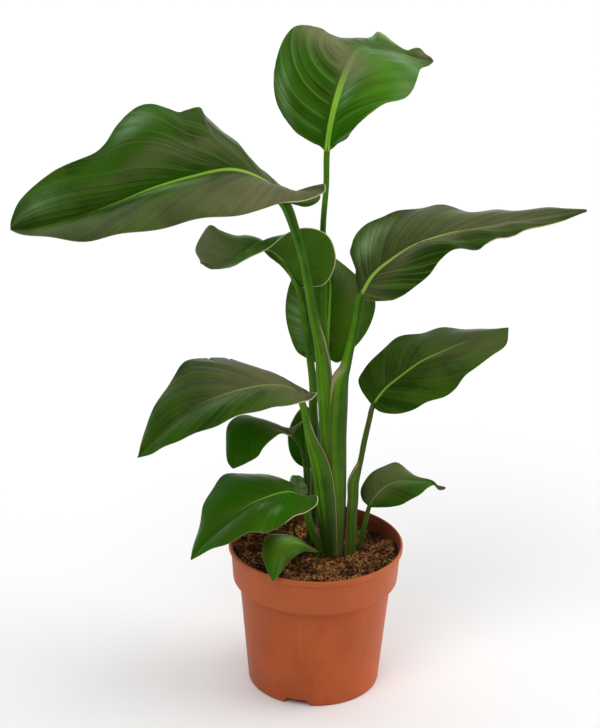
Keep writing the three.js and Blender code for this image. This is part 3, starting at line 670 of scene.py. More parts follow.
# In millimetres: each leaf's midrib, its left and right margins, and its stalk from the mix to the
# blade with the half-widths across and in depth. camber is the height of each half's arch, wave the
# height and the count of the margin's waves. A place at the share t of a margin belongs to the
# midrib's share t to the power fan.
leafShapes = {
    "top": {
        "fan": 1.8, "camber": (5, 5), "wave": (1.5, 4),
        "midrib": [(3, 5, 539), (6, 4, 567), (12, 8, 594), (19, 16, 612), (28, 32, 626), (49, 66, 620),
            (74, 88, 610), (89, 97, 604), (102, 102, 601)],
        "left": [(1, 4, 540), (-7, 0, 549), (-24, -6, 559), (-42, -12, 586), (-46, -8, 611),
            (-39, 8, 638), (-27, 26, 649), (-7, 46, 643), (9, 58, 633), (26, 74, 628), (43, 87, 626),
            (48, 90, 630), (54, 93, 627), (65, 98, 618), (77, 100, 611), (83, 101, 613),
            (89, 102, 613), (95, 103, 607), (100, 103, 604), (102, 103, 601)],
        "right": [(5, 4, 540), (13, 1, 548), (20, -2, 553), (25, -8, 563), (35, -14, 575),
            (52, -14, 589), (70, -2, 591), (80, 22, 594), (86, 56, 600), (90, 78, 600), (98, 96, 598),
            (102, 102, 600)],
        "stalk": [(18, 6, 107), (16, 6, 131), (13, 6, 221), (9, 6, 294), (7, 7, 332), (4, 9, 359),
            (3, 16, 403), (1, 20, 461), (3, 13, 505), (3, 5, 539)],
        "stalkWidths": [(4, 4), (4.2, 4.2), (4.2, 4.2), (4.2, 4.2), (4, 4), (3.3, 3.3), (3.2, 3.2),
            (2.8, 2.8), (2.7, 2.7), (2.8, 2.8)],
    },
    "upper_left": {
        "fan": 1.7, "camber": (8, 8), "wave": (2, 5),
        "midrib": [(-33, -8, 494), (-44, -8, 508), (-61, -6, 518), (-83, -4, 523), (-120, 0, 514),
            (-155, 2, 502), (-190, 4, 486), (-226, 4, 472), (-261, 2, 463), (-286, 0, 462)],
        "left": [(-30, -12, 497), (-15, -12, 501), (-6, -14, 504), (-2, -18, 512), (1, -22, 517),
            (2, -26, 512), (-3, -29, 509), (-13, -31, 505), (-22, -33, 503), (-38, -38, 502),
            (-53, -46, 500), (-74, -56, 498), (-103, -66, 496), (-144, -70, 489), (-174, -70, 482),
            (-206, -64, 474), (-244, -44, 469), (-275, -16, 463), (-286, 0, 461)],
        "right": [(-31, -4, 493), (-23, -2, 490), (-17, 1, 488), (-11, 4, 488), (-4, 8, 491),
            (-2, 12, 495), (-15, 18, 496), (-39, 24, 496), (-60, 30, 508), (-72, 36, 518),
            (-82, 43, 532), (-85, 44, 539), (-95, 46, 545), (-110, 46, 560), (-114, 46, 567),
            (-128, 47, 565), (-134, 48, 563), (-145, 48, 566), (-158, 48, 569), (-171, 48, 566),
            (-191, 46, 549), (-203, 43, 532), (-212, 41, 524), (-253, 34, 505), (-279, 18, 484),
            (-286, 4, 468), (-286, 0, 463)],
        "stalk": [(18, -1, 111), (17, -1, 135), (14, -1, 192), (10, -1, 251), (6, -2, 303),
            (4, -3, 329), (0, -4, 356), (-6, -5, 382), (-12, -7, 416), (-16, -8, 437), (-25, -8, 469),
            (-33, -8, 493)],
        "stalkWidths": [(6, 6), (6.5, 7), (7.2, 8), (7.6, 8), (7.5, 7.4), (7.3, 7.2), (5.6, 6),
            (4.6, 5), (4.1, 4.6), (4, 4.6), (4.4, 4.8), (5, 4.6)],
    },
    "twisted": {
        "fan": 1.5, "camber": (8, 4), "wave": (1, 3),
        "midrib": [(-20, 15, 404), (-28, 15, 420), (-38, 17, 432), (-50, 22, 438), (-75, 36, 425),
            (-102, 58, 410), (-116, 78, 406)],
        "left": [(-19, 14, 404), (-8, 8, 408), (2, 4, 411), (10, 1, 424), (13, 2, 442), (5, 4, 460),
            (-13, 5, 466), (-30, 4, 462), (-46, 8, 448), (-60, 20, 435), (-72, 32, 424),
            (-86, 44, 413), (-104, 62, 406), (-116, 78, 405)],
        "right": [(-22, 16, 403), (-27, 19, 410), (-38, 24, 423), (-50, 30, 430), (-62, 42, 438),
            (-70, 52, 443), (-83, 60, 440), (-96, 70, 441), (-106, 80, 443), (-115, 88, 431),
            (-121, 88, 415), (-116, 79, 407)],
        "stalk": [(-3, 22, 98), (-3, 22, 128), (-2, 21, 181), (-3, 19, 257), (-5, 18, 284),
            (-5, 18, 302), (-9, 17, 334), (-12, 16, 358), (-16, 16, 385), (-20, 15, 403)],
        "stalkWidths": [(3.6, 3.6), (3.8, 3.8), (4, 4), (4.1, 4.1), (4.2, 4.2), (4.1, 4.1), (3.5, 3.5),
            (3.8, 3.8), (3.8, 3.8), (3.2, 3.2)],
    },
    "rear": {
        "fan": 1.5, "camber": (4, 4), "wave": (1, 4),
        "midrib": [(8, 40, 325), (8, 36, 349), (9, 34, 380), (9, 40, 401), (6, 52, 414), (1, 66, 422)],
        "left": [(6, 40, 324), (-3, 36, 321), (-13, 32, 327), (-21, 29, 334), (-29, 26, 354),
            (-33, 26, 379), (-31, 30, 396), (-24, 42, 410), (-12, 54, 420), (1, 66, 423)],
        "right": [(9, 40, 324), (18, 36, 321), (33, 30, 339), (46, 26, 360), (52, 28, 387),
            (43, 34, 402), (29, 42, 412), (14, 54, 420), (1, 67, 421)],
        "stalk": [(14, 30, 94), (13, 30, 128), (12, 31, 209), (9, 36, 282), (8, 40, 324)],
        "stalkWidths": [(3, 3), (3.2, 3.2), (3, 3), (2.6, 2.6), (2.5, 2.5)],
    },
    "upper_right": {
        "fan": 1.5, "camber": (6, 6), "wave": (2, 6),
        "midrib": [(36, -5, 403), (48, -6, 425), (63, -8, 440), (85, -10, 456), (115, -12, 468),
            (144, -12, 474), (180, -8, 480), (213, -4, 485), (241, 0, 489)],
        "left": [(35, -4, 404), (32, -2, 419), (31, 2, 434), (26, 6, 442), (28, 12, 449),
            (33, 18, 458), (43, 26, 466), (57, 32, 470), (83, 40, 475), (105, 40, 479), (132, 36, 476),
            (170, 26, 479), (210, 12, 487), (241, 0, 490)],
        "right": [(38, -7, 402), (50, -14, 403), (66, -24, 408), (75, -32, 415), (85, -40, 428),
            (98, -48, 441), (106, -50, 459), (114, -50, 465), (125, -50, 466), (134, -49, 465),
            (140, -46, 466), (146, -43, 471), (156, -40, 473), (165, -37, 472), (173, -33, 474),
            (182, -28, 479), (200, -18, 478), (216, -10, 481), (241, 0, 488)],
        "stalk": [(23, -1, 111), (22, -1, 135), (22, -1, 171), (19, -2, 220), (17, -2, 267),
            (18, -2, 292), (20, -2, 320), (24, -2, 331), (28, -3, 350), (33, -4, 376), (37, -5, 402)],
        "stalkWidths": [(4.6, 7.4), (4.9, 8), (6.4, 9.4), (9.2, 10.6), (10.4, 10.4), (9.8, 9.8),
            (8.2, 8), (5.5, 6), (4.3, 4.6), (4, 4.2), (3.9, 3.9)],
    },
    "middle_right": {
        "fan": 1.5, "camber": (4, 5), "wave": (1.2, 5),
        "midrib": [(51, -12, 298), (62, -14, 315), (77, -16, 330), (93, -18, 344), (113, -18, 355),
            (136, -16, 365), (158, -12, 371), (175, -8, 376)],
        "left": [(49, -11, 299), (44, -8, 305), (39, -4, 312), (37, 0, 318), (42, 6, 326),
            (53, 12, 337), (71, 18, 353), (95, 20, 359), (118, 18, 365), (148, 8, 368),
            (175, -7, 376)],
        "right": [(52, -14, 296), (59, -20, 294), (73, -28, 296), (86, -34, 302), (99, -40, 313),
            (116, -42, 320), (126, -42, 329), (136, -40, 342), (158, -28, 355), (173, -16, 363),
            (175, -8, 375)],
        "stalk": [(33, 1, 110), (33, 1, 133), (34, 0, 149), (34, 0, 174), (35, 0, 193), (35, -2, 213),
            (38, -2, 224), (41, -4, 235), (44, -8, 257), (48, -10, 280), (50, -12, 300)],
        "stalkWidths": [(5, 5.6), (5.4, 6.6), (5.5, 6.8), (5.6, 6.8), (5.4, 6.6), (5.6, 6), (4.3, 4.8),
            (2.8, 3.4), (2.8, 2.8), (2.6, 2.6), (2.5, 2.5)],
    },
    "middle_left": {
        "fan": 1.5, "camber": (5, 6), "wave": (1.5, 5),
        "midrib": [(-16, -18, 305), (-27, -20, 317), (-47, -24, 321), (-80, -30, 316),
            (-115, -34, 302), (-146, -34, 276), (-170, -32, 249)],
        "left": [(-13, -22, 307), (-8, -24, 313), (-2, -28, 316), (-7, -32, 311), (-15, -36, 310),
            (-32, -46, 309), (-46, -54, 311), (-79, -66, 305), (-117, -66, 287), (-137, -58, 275),
            (-155, -44, 258), (-170, -32, 248)],
        "right": [(-14, -14, 306), (-9, -8, 307), (-16, -2, 310), (-27, 2, 314), (-45, 10, 317),
            (-59, 16, 322), (-78, 22, 326), (-110, 24, 329), (-127, 20, 325), (-138, 10, 314),
            (-153, -8, 294), (-161, -18, 279), (-167, -27, 260), (-169, -32, 250)],
        "stalk": [(16, -9, 115), (15, -9, 139), (12, -10, 162), (8, -11, 199), (4, -12, 227),
            (-1, -13, 246), (-7, -15, 264), (-11, -16, 280), (-16, -18, 302)],
        "stalkWidths": [(5.4, 5), (6, 5.4), (8.2, 6.2), (10, 6.8), (9.4, 6.2), (7.9, 5.4), (5, 4.4),
            (3.8, 3.8), (3.3, 3.3)],
    },
    "hanging": {
        "fan": 1.3, "camber": (2, 3), "wave": (0.8, 3),
        "midrib": [(-25, 8, 256), (-38, 6, 263), (-54, 4, 267), (-68, 0, 262), (-77, -4, 247),
            (-81, -6, 227)],
        "left": [(-25, 6, 256), (-30, 3, 259), (-36, 0, 261), (-43, -5, 258), (-52, -10, 250),
            (-57, -13, 243), (-68, -12, 235), (-81, -6, 226)],
        "right": [(-24, 9, 257), (-15, 10, 270), (-28, 16, 259), (-43, 20, 262), (-56, 24, 266),
            (-70, 24, 270), (-81, 20, 267), (-87, 14, 261), (-88, 4, 245), (-86, -3, 232),
            (-82, -6, 227)],
        "stalk": [(-7, 14, 102), (-7, 14, 132), (-7, 15, 168), (-10, 15, 200), (-13, 12, 228),
            (-18, 10, 246), (-25, 8, 255)],
        "stalkWidths": [(2, 2), (2.2, 2.2), (2.4, 2.4), (2.4, 2.4), (1.7, 1.7), (1.6, 1.6),
            (1.6, 1.6)],
    },
    "inner": {
        "fan": 1.4, "camber": (2, 2), "wave": (0.5, 3),
        "midrib": [(-8, 40, 206), (-11, 36, 226), (-13, 35, 245), (-14, 38, 259), (-13, 44, 272)],
        "left": [(-9, 40, 206), (-21, 36, 215), (-27, 32, 228), (-29, 30, 243), (-27, 32, 256),
            (-20, 38, 268), (-13, 44, 273)],
        "right": [(-7, 40, 206), (0, 37, 215), (4, 34, 229), (3, 33, 245), (0, 35, 261), (-6, 39, 270),
            (-12, 44, 272)],
        "stalk": [(-6, 34, 97), (-6, 34, 131), (-6, 37, 168), (-8, 40, 205)],
        "stalkWidths": [(2, 2), (2.2, 2.2), (2, 2), (1.7, 1.7)],
    },
    "lower_left": {
        "fan": 1.5, "camber": (4, 5), "wave": (1, 4),
        "midrib": [(-13, -22, 202), (-24, -26, 212), (-35, -30, 213), (-48, -34, 210), (-62, -38, 205),
            (-79, -44, 194), (-99, -50, 175), (-119, -52, 152)],
        "left": [(-10, -26, 204), (-5, -30, 210), (0, -36, 213), (0, -42, 208), (-10, -48, 202),
            (-21, -54, 200), (-32, -62, 195), (-49, -72, 192), (-63, -76, 193), (-85, -76, 181),
            (-101, -66, 169), (-119, -52, 151)],
        "right": [(-12, -18, 202), (-13, -12, 205), (-25, -6, 213), (-52, 4, 216), (-74, 6, 216),
            (-90, 4, 214), (-101, -6, 204), (-108, -16, 194), (-111, -28, 179), (-117, -42, 162),
            (-119, -52, 153)],
        "stalk": [(12, -4, 109), (9, -6, 134), (4, -8, 145), (-3, -12, 163), (-9, -17, 184),
            (-13, -22, 199)],
        "stalkWidths": [(2.4, 2.4), (2.6, 2.6), (4, 3.2), (4.5, 3.4), (3.7, 3.2), (3.2, 3)],
    },
    "lower_right": {
        "fan": 1.4, "camber": (3, 3), "wave": (0.8, 4),
        "midrib": [(51, 8, 182), (58, 6, 195), (69, 4, 207), (81, 2, 212), (95, 0, 213), (112, 0, 212),
            (117, 0, 207), (124, 0, 207)],
        "left": [(50, 10, 182), (45, 14, 186), (43, 18, 195), (49, 24, 205), (60, 28, 213),
            (76, 28, 220), (88, 20, 216), (100, 10, 212), (112, 1, 213), (117, 1, 209), (124, 0, 208)],
        "right": [(53, 6, 182), (64, -4, 187), (75, -12, 192), (87, -18, 200), (99, -18, 209),
            (108, -8, 211), (113, -1, 210), (118, -1, 205), (124, -1, 206)],
        "stalk": [(41, 10, 105), (42, 10, 131), (45, 9, 150), (48, 8, 164), (52, 8, 181)],
        "stalkWidths": [(2.6, 2.6), (2.9, 2.9), (2.8, 2.8), (2.5, 2.5), (2.1, 2.1)],
    },
    "rim": {
        "fan": 1.4, "camber": (2, 3), "wave": (0.5, 3),
        "midrib": [(2, -13, 143), (-6, -19, 149), (-17, -31, 161), (-29, -48, 167), (-36, -70, 165),
            (-40, -91, 151)],
        "left": [(3, -15, 143), (-4, -23, 147), (-11, -35, 154), (-19, -48, 156), (-27, -64, 156),
            (-33, -80, 155), (-39, -91, 151)],
        "right": [(1, -11, 143), (-6, -15, 148), (-13, -20, 154), (-23, -27, 164), (-31, -33, 170),
            (-42, -42, 175), (-49, -51, 173), (-51, -61, 168), (-49, -74, 162), (-44, -85, 155),
            (-41, -91, 151)],
        "stalk": [(1, -12, 109), (1, -13, 131), (2, -13, 143)],
        "stalkWidths": [(1.6, 1.6), (1.8, 1.8), (1.7, 1.6)],
    },
    "wilted": {
        "fan": 1.2, "camber": (1, 1), "wave": (1.2, 3),
        "midrib": [(-18, 8, 181), (-18, 10, 193), (-18, 12, 203), (-18, 14, 211)],
        "left": [(-19, 8, 181), (-25, 6, 188), (-27, 7, 199), (-25, 10, 212), (-19, 14, 211)],
        "right": [(-17, 8, 181), (-11, 6, 189), (-9, 7, 199), (-13, 10, 210), (-17, 14, 211)],
        "stalk": [(-14, 6, 112), (-16, 6, 136), (-22, 6, 159), (-18, 8, 181)],
        "stalkWidths": [(1.2, 1.2), (1.3, 1.3), (1.2, 1.2), (1.1, 1.1)],
    },
}

# What every leaf has unless leafLooks says otherwise. Pairs are for the left and the right half.
# veins: side veins along a half, sweep: how far they run on towards the tip at the margin,
# veinPath: the smaller, the longer a vein keeps to the rib, veinBend: how squarely it leaves the rib,
# pleat: height of the pleats, rib: half-width of the rib at the leaf's base, ribTone: how strong the
# rib's colour is and the share of the leaf where it ends, fresh: how fresh the green is,
# bloom, lime and the painted sheen: places (t along, s across, size along, size across, amount) of the
# purple-grey bloom, of yellower green and of a waxy green that is a painted sheen, cream: stretches (side,
# from, to) of a cream margin,
# nicks: (side, at, width, depth), dryTip: share of the leaf that is dry,
# wrinkles: places (t, s, size along, size across, height, count) of fine folds
plainLook = {
    "veinPath": (0.5, 0.5), "veinBend": (0, 0), "bloom": [], "lime": [], "wax": [], "cream": [],
    "nicks": [], "dryTip": 0.01, "wrinkles": [],
}

leafLooks = {
    "top": {
        "veins": 26, "sweep": (0.50, 0.45), "veinPath": (3.0, 0.5), "veinBend": (0.38, 0),
        "pleat": (0.0015, 0.0013), "rib": 0.0035, "ribTone": (1, 0.72), "fresh": (0.9, 1.5), "dryTip": 0.03,
        "bloom": [
            (0.53, -0.95, 0.07, 0.4, 1.0), (0.60, -0.4, 0.06, 0.5, 1.0), (0.88, 0.3, 0.12, 0.5, 0.7),
            (0.96, -0.6, 0.03, 0.5, 1.0), (0.60, 0.05, 0.08, 0.3, 0.6), (0.55, 0.9, 0.2, 0.15, 0.35),
        ],
        "lime": [
            (0.28, 0.97, 0.10, 0.05, 0.9), (0.55, 0.5, 0.25, 0.35, 0.25), (0.82, -0.85, 0.07, 0.3, 1.0),
        ],
        "wax": [(0.25, -0.85, 0.08, 0.10, 0.9), (0.50, 0.12, 0.10, 0.10, 1.0)],
    },
    "upper_left": {
        "veins": 46, "sweep": (0.40, 0.50), "pleat": (0.0003, 0.0010), "rib": 0.0021, "ribTone": (1, 0.9),
        "fresh": (0.34, 0.56), "dryTip": 0.004, "cream": [(-1, 0, 0.24), (1, 0, 0.10)],
        "bloom": [
            (0.22, -0.5, 0.18, 0.8, 1.0), (0.42, -0.7, 0.18, 0.4, 0.45), (0.55, 0.35, 0.2, 0.15, 0.5),
            (0.35, 0.8, 0.12, 0.4, 0.4), (0.75, -0.8, 0.2, 0.2, 0.4),
        ],
        "wax": [
            (0.92, 0.60, 0.07, 0.22, 0.6), (0.62, 0.85, 0.05, 0.12, 0.9), (0.62, -0.22, 0.14, 0.10, 1.0),
        ],
        "wrinkles": [(0.62, -0.28, 0.12, 0.16, 0.0006, 70)],
    },
    "twisted": {
        "veins": 25, "sweep": (0.3, 0.3), "pleat": (0.0007, 0.0004), "rib": 0.0012, "ribTone": (0.6, 0.9),
        "fresh": (1.5, 1.5), "dryTip": 0.02, "cream": [(1, 0, 1), (-1, 0, 1)],
        "bloom": [(0.85, 0.4, 0.33, 1.2, 1.0)],
    },
    "rear": {
        "veins": 22, "sweep": (0.2, 0.25), "pleat": (0.0006, 0.0006), "rib": 0.0016, "ribTone": (1, 1),
        "fresh": (0.95, 1.0),
        "bloom": [(0.7, 0.7, 0.2, 0.3, 0.6), (0.95, 0.3, 0.12, 0.6, 0.5)],
        "lime": [(0.45, -0.5, 0.4, 0.5, 0.5), (0.4, 0.5, 0.4, 0.5, 0.4)],
        "wax": [(0.47, -0.71, 0.2, 0.25, 1.0), (0.85, 0.5, 0.12, 0.4, 0.5)],
    },
    "upper_right": {
        "veins": 34, "sweep": (0.38, 0.5), "pleat": (0.0007, 0.0013), "rib": 0.0018, "ribTone": (1, 0.85),
        "fresh": (0.12, 0.24), "cream": [(-1, 0, 0.25), (1, 0, 0.2), (1, 0.6, 0.9)],
        "bloom": [
            (0.55, 0.25, 0.3, 0.3, 0.9), (0.85, 0, 0.2, 1.0, 0.6), (0.1, 0.3, 0.1, 0.5, 0.5),
            (0.48, -0.5, 0.28, 0.5, 0.45),
        ],
        "wax": [(0.29, -0.66, 0.08, 0.2, 0.7), (0.24, -0.51, 0.05, 0.2, 0.6)],
    },
    "middle_right": {
        "veins": 24, "sweep": (0.35, 0.5), "pleat": (0.0002, 0.0002), "rib": 0.0010, "ribTone": (0.6, 0.9),
        "fresh": (0.34, 0.42), "dryTip": 0.008,
        "bloom": [(0.85, 0.2, 0.25, 0.9, 0.5), (0.45, -0.3, 0.4, 0.6, 0.1)],
    },
    "middle_left": {
        "veins": 28, "sweep": (0.42, 0.5), "pleat": (0.0003, 0.0009), "rib": 0.0014, "ribTone": (0.55, 0.75),
        "fresh": (0.5, 0.32), "cream": [(-1, 0, 0.2), (1, 0, 0.15)],
        "nicks": [(1, 0.40, 0.01, 0.05), (1, 0.48, 0.008, 0.04)],
        "bloom": [(0.3, 0.35, 0.3, 0.45, 1.0), (0.12, -0.5, 0.2, 0.6, 1.0), (0.5, -0.1, 0.25, 0.2, 0.5)],
        "wax": [(0.6, -0.4, 0.15, 0.3, 0.3)],
    },
    "hanging": {
        "veins": 14, "sweep": (0.3, 0.3), "pleat": (0.0002, 0.0002), "rib": 0.0009, "ribTone": (0.1, 0.6),
        "fresh": (0.95, 0.95), "cream": [(-1, 0, 0.5), (1, 0, 0.5)],
        "bloom": [(0.12, 0, 0.22, 1.0, 1.0), (0.3, 0.6, 0.25, 0.4, 0.7)],
    },
    "inner": {
        "veins": 12, "sweep": (0.3, 0.3), "pleat": (0.0003, 0.0003), "rib": 0.0008, "ribTone": (0.4, 0.9),
        "fresh": (1.1, 1.1), "cream": [(-1, 0, 1), (1, 0, 1)],
    },
    "lower_left": {
        "veins": 22, "sweep": (0.4, 0.4), "pleat": (0.0002, 0.0002), "rib": 0.0009, "ribTone": (0.5, 0.75),
        "fresh": (0.95, 0.9), "dryTip": 0.008, "cream": [(-1, 0, 0.35), (1, 0, 0.3)],
        "bloom": [(0.05, 0, 0.10, 1, 0.7), (0.2, 0.7, 0.2, 0.3, 0.5)],
        "wax": [
            (0.48, -0.25, 0.05, 0.10, 0.5), (0.40, -0.55, 0.05, 0.10, 0.45), (0.72, -0.5, 0.05, 0.15, 0.4),
        ],
    },
    "lower_right": {
        "veins": 16, "sweep": (0.3, 0.3), "pleat": (0.0002, 0.0002), "rib": 0.0008, "ribTone": (0.4, 0.8),
        "fresh": (0.6, 0.6), "dryTip": 0.12,
        "bloom": [(0.4, -0.4, 0.4, 0.5, 0.7), (0.4, 0.2, 0.3, 0.3, 0.4)],
    },
    "rim": {
        "veins": 14, "sweep": (0.3, 0.3), "pleat": (0.0001, 0.0001), "rib": 0.0010, "ribTone": (0.4, 0.7),
        "fresh": (0.65, 0.65), "bloom": [(0.05, 0, 0.22, 1, 0.8)],
        "lime": [(0.45, 0.05, 0.25, 0.5, 0.9)], "wax": [(0.5, 0.3, 0.12, 0.3, 0.7)],
    },
    "wilted": {
        "veins": 6, "sweep": (0, 0), "pleat": (0.0004, 0.0004), "rib": 0.0006, "ribTone": (0.1, 0.6),
        "fresh": (1.2, 1.2), "dryTip": 0.02, "cream": [(-1, 0.5, 1)], "nicks": [(1, 0.75, 0.06, 0.3)],
        "bloom": [(0.5, 0, 1, 1, 0.2)], "lime": [(0.6, 0, 1, 2, 0.8)], "wax": [(0.7, 0, 1, 2, 1.0)],
    },
}

blade = {
    "rowPitch": 0.0012,
    "fewestRows": 24,
    "ribColumns": (0.35, 0.7, 1.0, 1.35, 1.9),  # in rib half-widths
    "marginColumns": (0.0004, 0.0010, 0.0020),
    "middleColumns": 18,
    "middleLeast": 0.15,  # share of a half's width that the middle columns keep in narrow places
    "thickness": 0.0006,
    "keel": 2.2 / 3,  # height of the rib under the leaf's base, in its half-widths
    "ribRise": 0.0005,
    "ribTaper": 0.6,
    "ribEnd": 0.9,  # share of the midrib after which the rib runs out
    "ribLeast": 0.0002,
    "ribFall": 0.8,  # how much lower the rib's rise is at the tip
    "grooves": (0.8, 1.25, 0.35),  # along the rib: depth in ribRise, place and width in half-widths
    "camberFade": 0.7,
    "rippleReach": 3,
    "ripplePhase": 1.7,
    "marginWidth": 0.0009,
    "pleatRise": (1.2, 3.8),  # distances across the veins, in veins
    "pleatDrop": (0.35, 0.8),
    "pleatHeight": (0.1, 1.0),  # of crests and, downwards, of troughs, in the leaf's pleat
    "dropShare": 0.25,
    "pleatStart": (0.9, 4.0),  # the pleats grow between these distances from the rib, in its half-widths
    "pleatLoss": 0.6,  # share of their height that they lose towards the margin
    "baseFade": 0.06,
    "tipFade": (0.35, 0.8, 0.65),  # from where to where, and the share lost
    "finePleat": 0.22,
    "halfShift": 17.3,  # keeps the two halves' patterns apart
    "toneFade": 0.3,
    "fullRelief": 0.001,  # height of the pleats at which the painted light and shade on them and the vein colours reach full strength
    "creamStart": (0.02, 0.01),  # a cream stretch fades in over these, before and after its start
    "creamEnd": 0.03,
    "smoothAngle": 50,
}


def metres(millimetres):
    return np.array(millimetres) / 1000


def leafLook(name):
    return {**plainLook, **leafLooks[name]}


def byHalf(surface, pair):
    # the first value on the left half and the second on the right one
    return np.where(surface["side"] < 0, *pair)


def curveLength(samples):
    return float(np.linalg.norm(np.diff(samples, axis=0), axis=1).sum())


def columnPlaces(width, ribHalf):
    # the distances of a half's columns from the midrib, crowded at the rib and at the margin
    rib = np.array(blade["ribColumns"]) * ribHalf[:, None]
    edge = np.array(blade["marginColumns"])[None, :]
    edgeSteps = np.diff(np.concatenate([[0], edge[0]]))[::-1]
    ribSteps = np.diff(np.concatenate([np.zeros((len(rib), 1)), rib], 1), axis=1)
    rest = np.maximum(width - rib[:, -1] - edge[0, -1], blade["middleLeast"] * width)
    rest = rest / blade["middleColumns"]
    middle = np.repeat(rest[:, None], blade["middleColumns"], 1)
    steps = np.concatenate([ribSteps, middle, np.repeat(edgeSteps[None, :], len(rib), 0)], 1)
    places = np.concatenate([np.zeros((len(rib), 1)), np.cumsum(steps, 1)], 1)
    return places / places[:, -1:]


def pleating(v, seed):
    # slow rises and short drops at uneven distances, as across a pleated leaf, and the count of
    # crests up to each place
    dice = random.Random(seed)
    knots, heights, counts = [float(v.min()) - 1], [0.0], [blade["dropShare"]]
    while knots[-1] < v.max():
        crest = knots[-1] + dice.uniform(*blade["pleatRise"])
        knots += [crest, crest + dice.uniform(*blade["pleatDrop"])]
        heights += [dice.uniform(*blade["pleatHeight"]), -dice.uniform(*blade["pleatHeight"])]
        whole = math.floor(counts[-1]) + 1
        counts += [whole, whole + blade["dropShare"]]
    return np.interp(v, knots, heights), np.interp(v, knots, counts)


def halfSurface(shape, look, side, curve, centre, direction, t, ribHalf):
    # one half between the midrib and its margin, cambered and with a rippled margin
    across = atShare(curve, t) - centre
    for nickSide, at, width, depth in look["nicks"]:
        if nickSide == side:
            across *= (1 - depth * np.clip(1 - np.abs(t - at) / width, 0, 1))[:, None]
    width = np.linalg.norm(across, axis=1)
    out = columnPlaces(width, ribHalf)
    swell = np.sin(math.pi * t)
    up = unit(np.cross(across, direction) * side)
    arch = metres(shape["camber"][0 if side < 0 else 1])
    camber = arch * np.sin(math.pi * out) * swell[:, None]**blade["camberFade"]
    height, count = shape["wave"]
    phase = 2 * math.pi * count * t + (0 if side < 0 else blade["ripplePhase"])
    ripple = metres(height) * out**blade["rippleReach"] * (swell * np.sin(phase))[:, None]
    points = centre[:, None] + across[:, None] * out[..., None] + up[:, None] * (camber + ripple)[..., None]
    return {"points": points, "out": out, "width": np.repeat(width[:, None], out.shape[1], 1)}


def bladeSurface(name):
    # rows of points across the leaf from the left margin to the right one, from base to tip
    shape, look = leafShapes[name], leafLook(name)
    midrib, left, right = (smoothCurve(metres(shape[key])) for key in ("midrib", "left", "right"))
    longest = max(curveLength(left), curveLength(right))
    t = np.linspace(0, 1, max(blade["fewestRows"], round(longest / blade["rowPitch"])) + 1)
    along = t**shape["fan"]
    nudge = 0.004
    ahead, behind = np.minimum(along + nudge, 1), np.maximum(along - nudge, 0)
    centre = atShare(midrib, along)
    direction = unit(atShare(midrib, ahead) - atShare(midrib, behind))
    ribHalf = look["rib"] * (1 - blade["ribTaper"] * along) * (1 - fade(blade["ribEnd"], 1, along))
    ribHalf = ribHalf + blade["ribLeast"]
    halves = {side: halfSurface(shape, look, side, curve, centre, direction, t, ribHalf)
              for side, curve in ((-1, left), (1, right))}
    joined = {key: np.concatenate([halves[-1][key][:, :0:-1], halves[1][key]], 1) for key in halves[1]}
    columns = halves[1]["out"].shape[1]
    signs = np.concatenate([-np.ones(columns - 1), np.ones(columns)])
    joined.update(t=np.repeat(t[:, None], len(signs), 1), side=np.repeat(signs[None, :], len(t), 0),
                  ribHalf=np.repeat(ribHalf[:, None], len(signs), 1), midrib=midrib)
    return joined


def surfaceNormals(points):
    return unit(np.cross(np.gradient(points, axis=1), np.gradient(points, axis=0)))


def spots(surface, places):
    total = 0
    s = surface["out"] * surface["side"]
    for t0, s0, sizeT, sizeS, amount in places:
        total = total + amount * np.exp(-((surface["t"] - t0) / sizeT)**2 - ((s - s0) / sizeS)**2)
    return np.clip(total + 0 * s, 0, 1)


def creamStretches(surface, stretches):
    mask = 0 * surface["t"]
    before, after = blade["creamStart"]
    for side, start, end in stretches:
        begun = fade(start - before, start + after, surface["t"])
        ended = fade(end - blade["creamEnd"], end + blade["creamEnd"], surface["t"])
        mask = np.maximum(mask, begun * (1 - ended) * (surface["side"] == side))
    return mask


def wrinkled(surface, places):
    lift = 0
    for t0, s0, sizeT, sizeS, height, count in places:
        s = surface["out"] * surface["side"]
        t = surface["t"]
        here = np.exp(-((t - t0) / sizeT)**4 - ((s - s0) / sizeS)**2)
        phase = count * (t + 0.12 * s) + 1.5 * np.sin(13 * t)
        lift = lift + height * here * np.exp(-1.5 * (1 + np.sin(2 * math.pi * phase * 0.16)))
    return lift


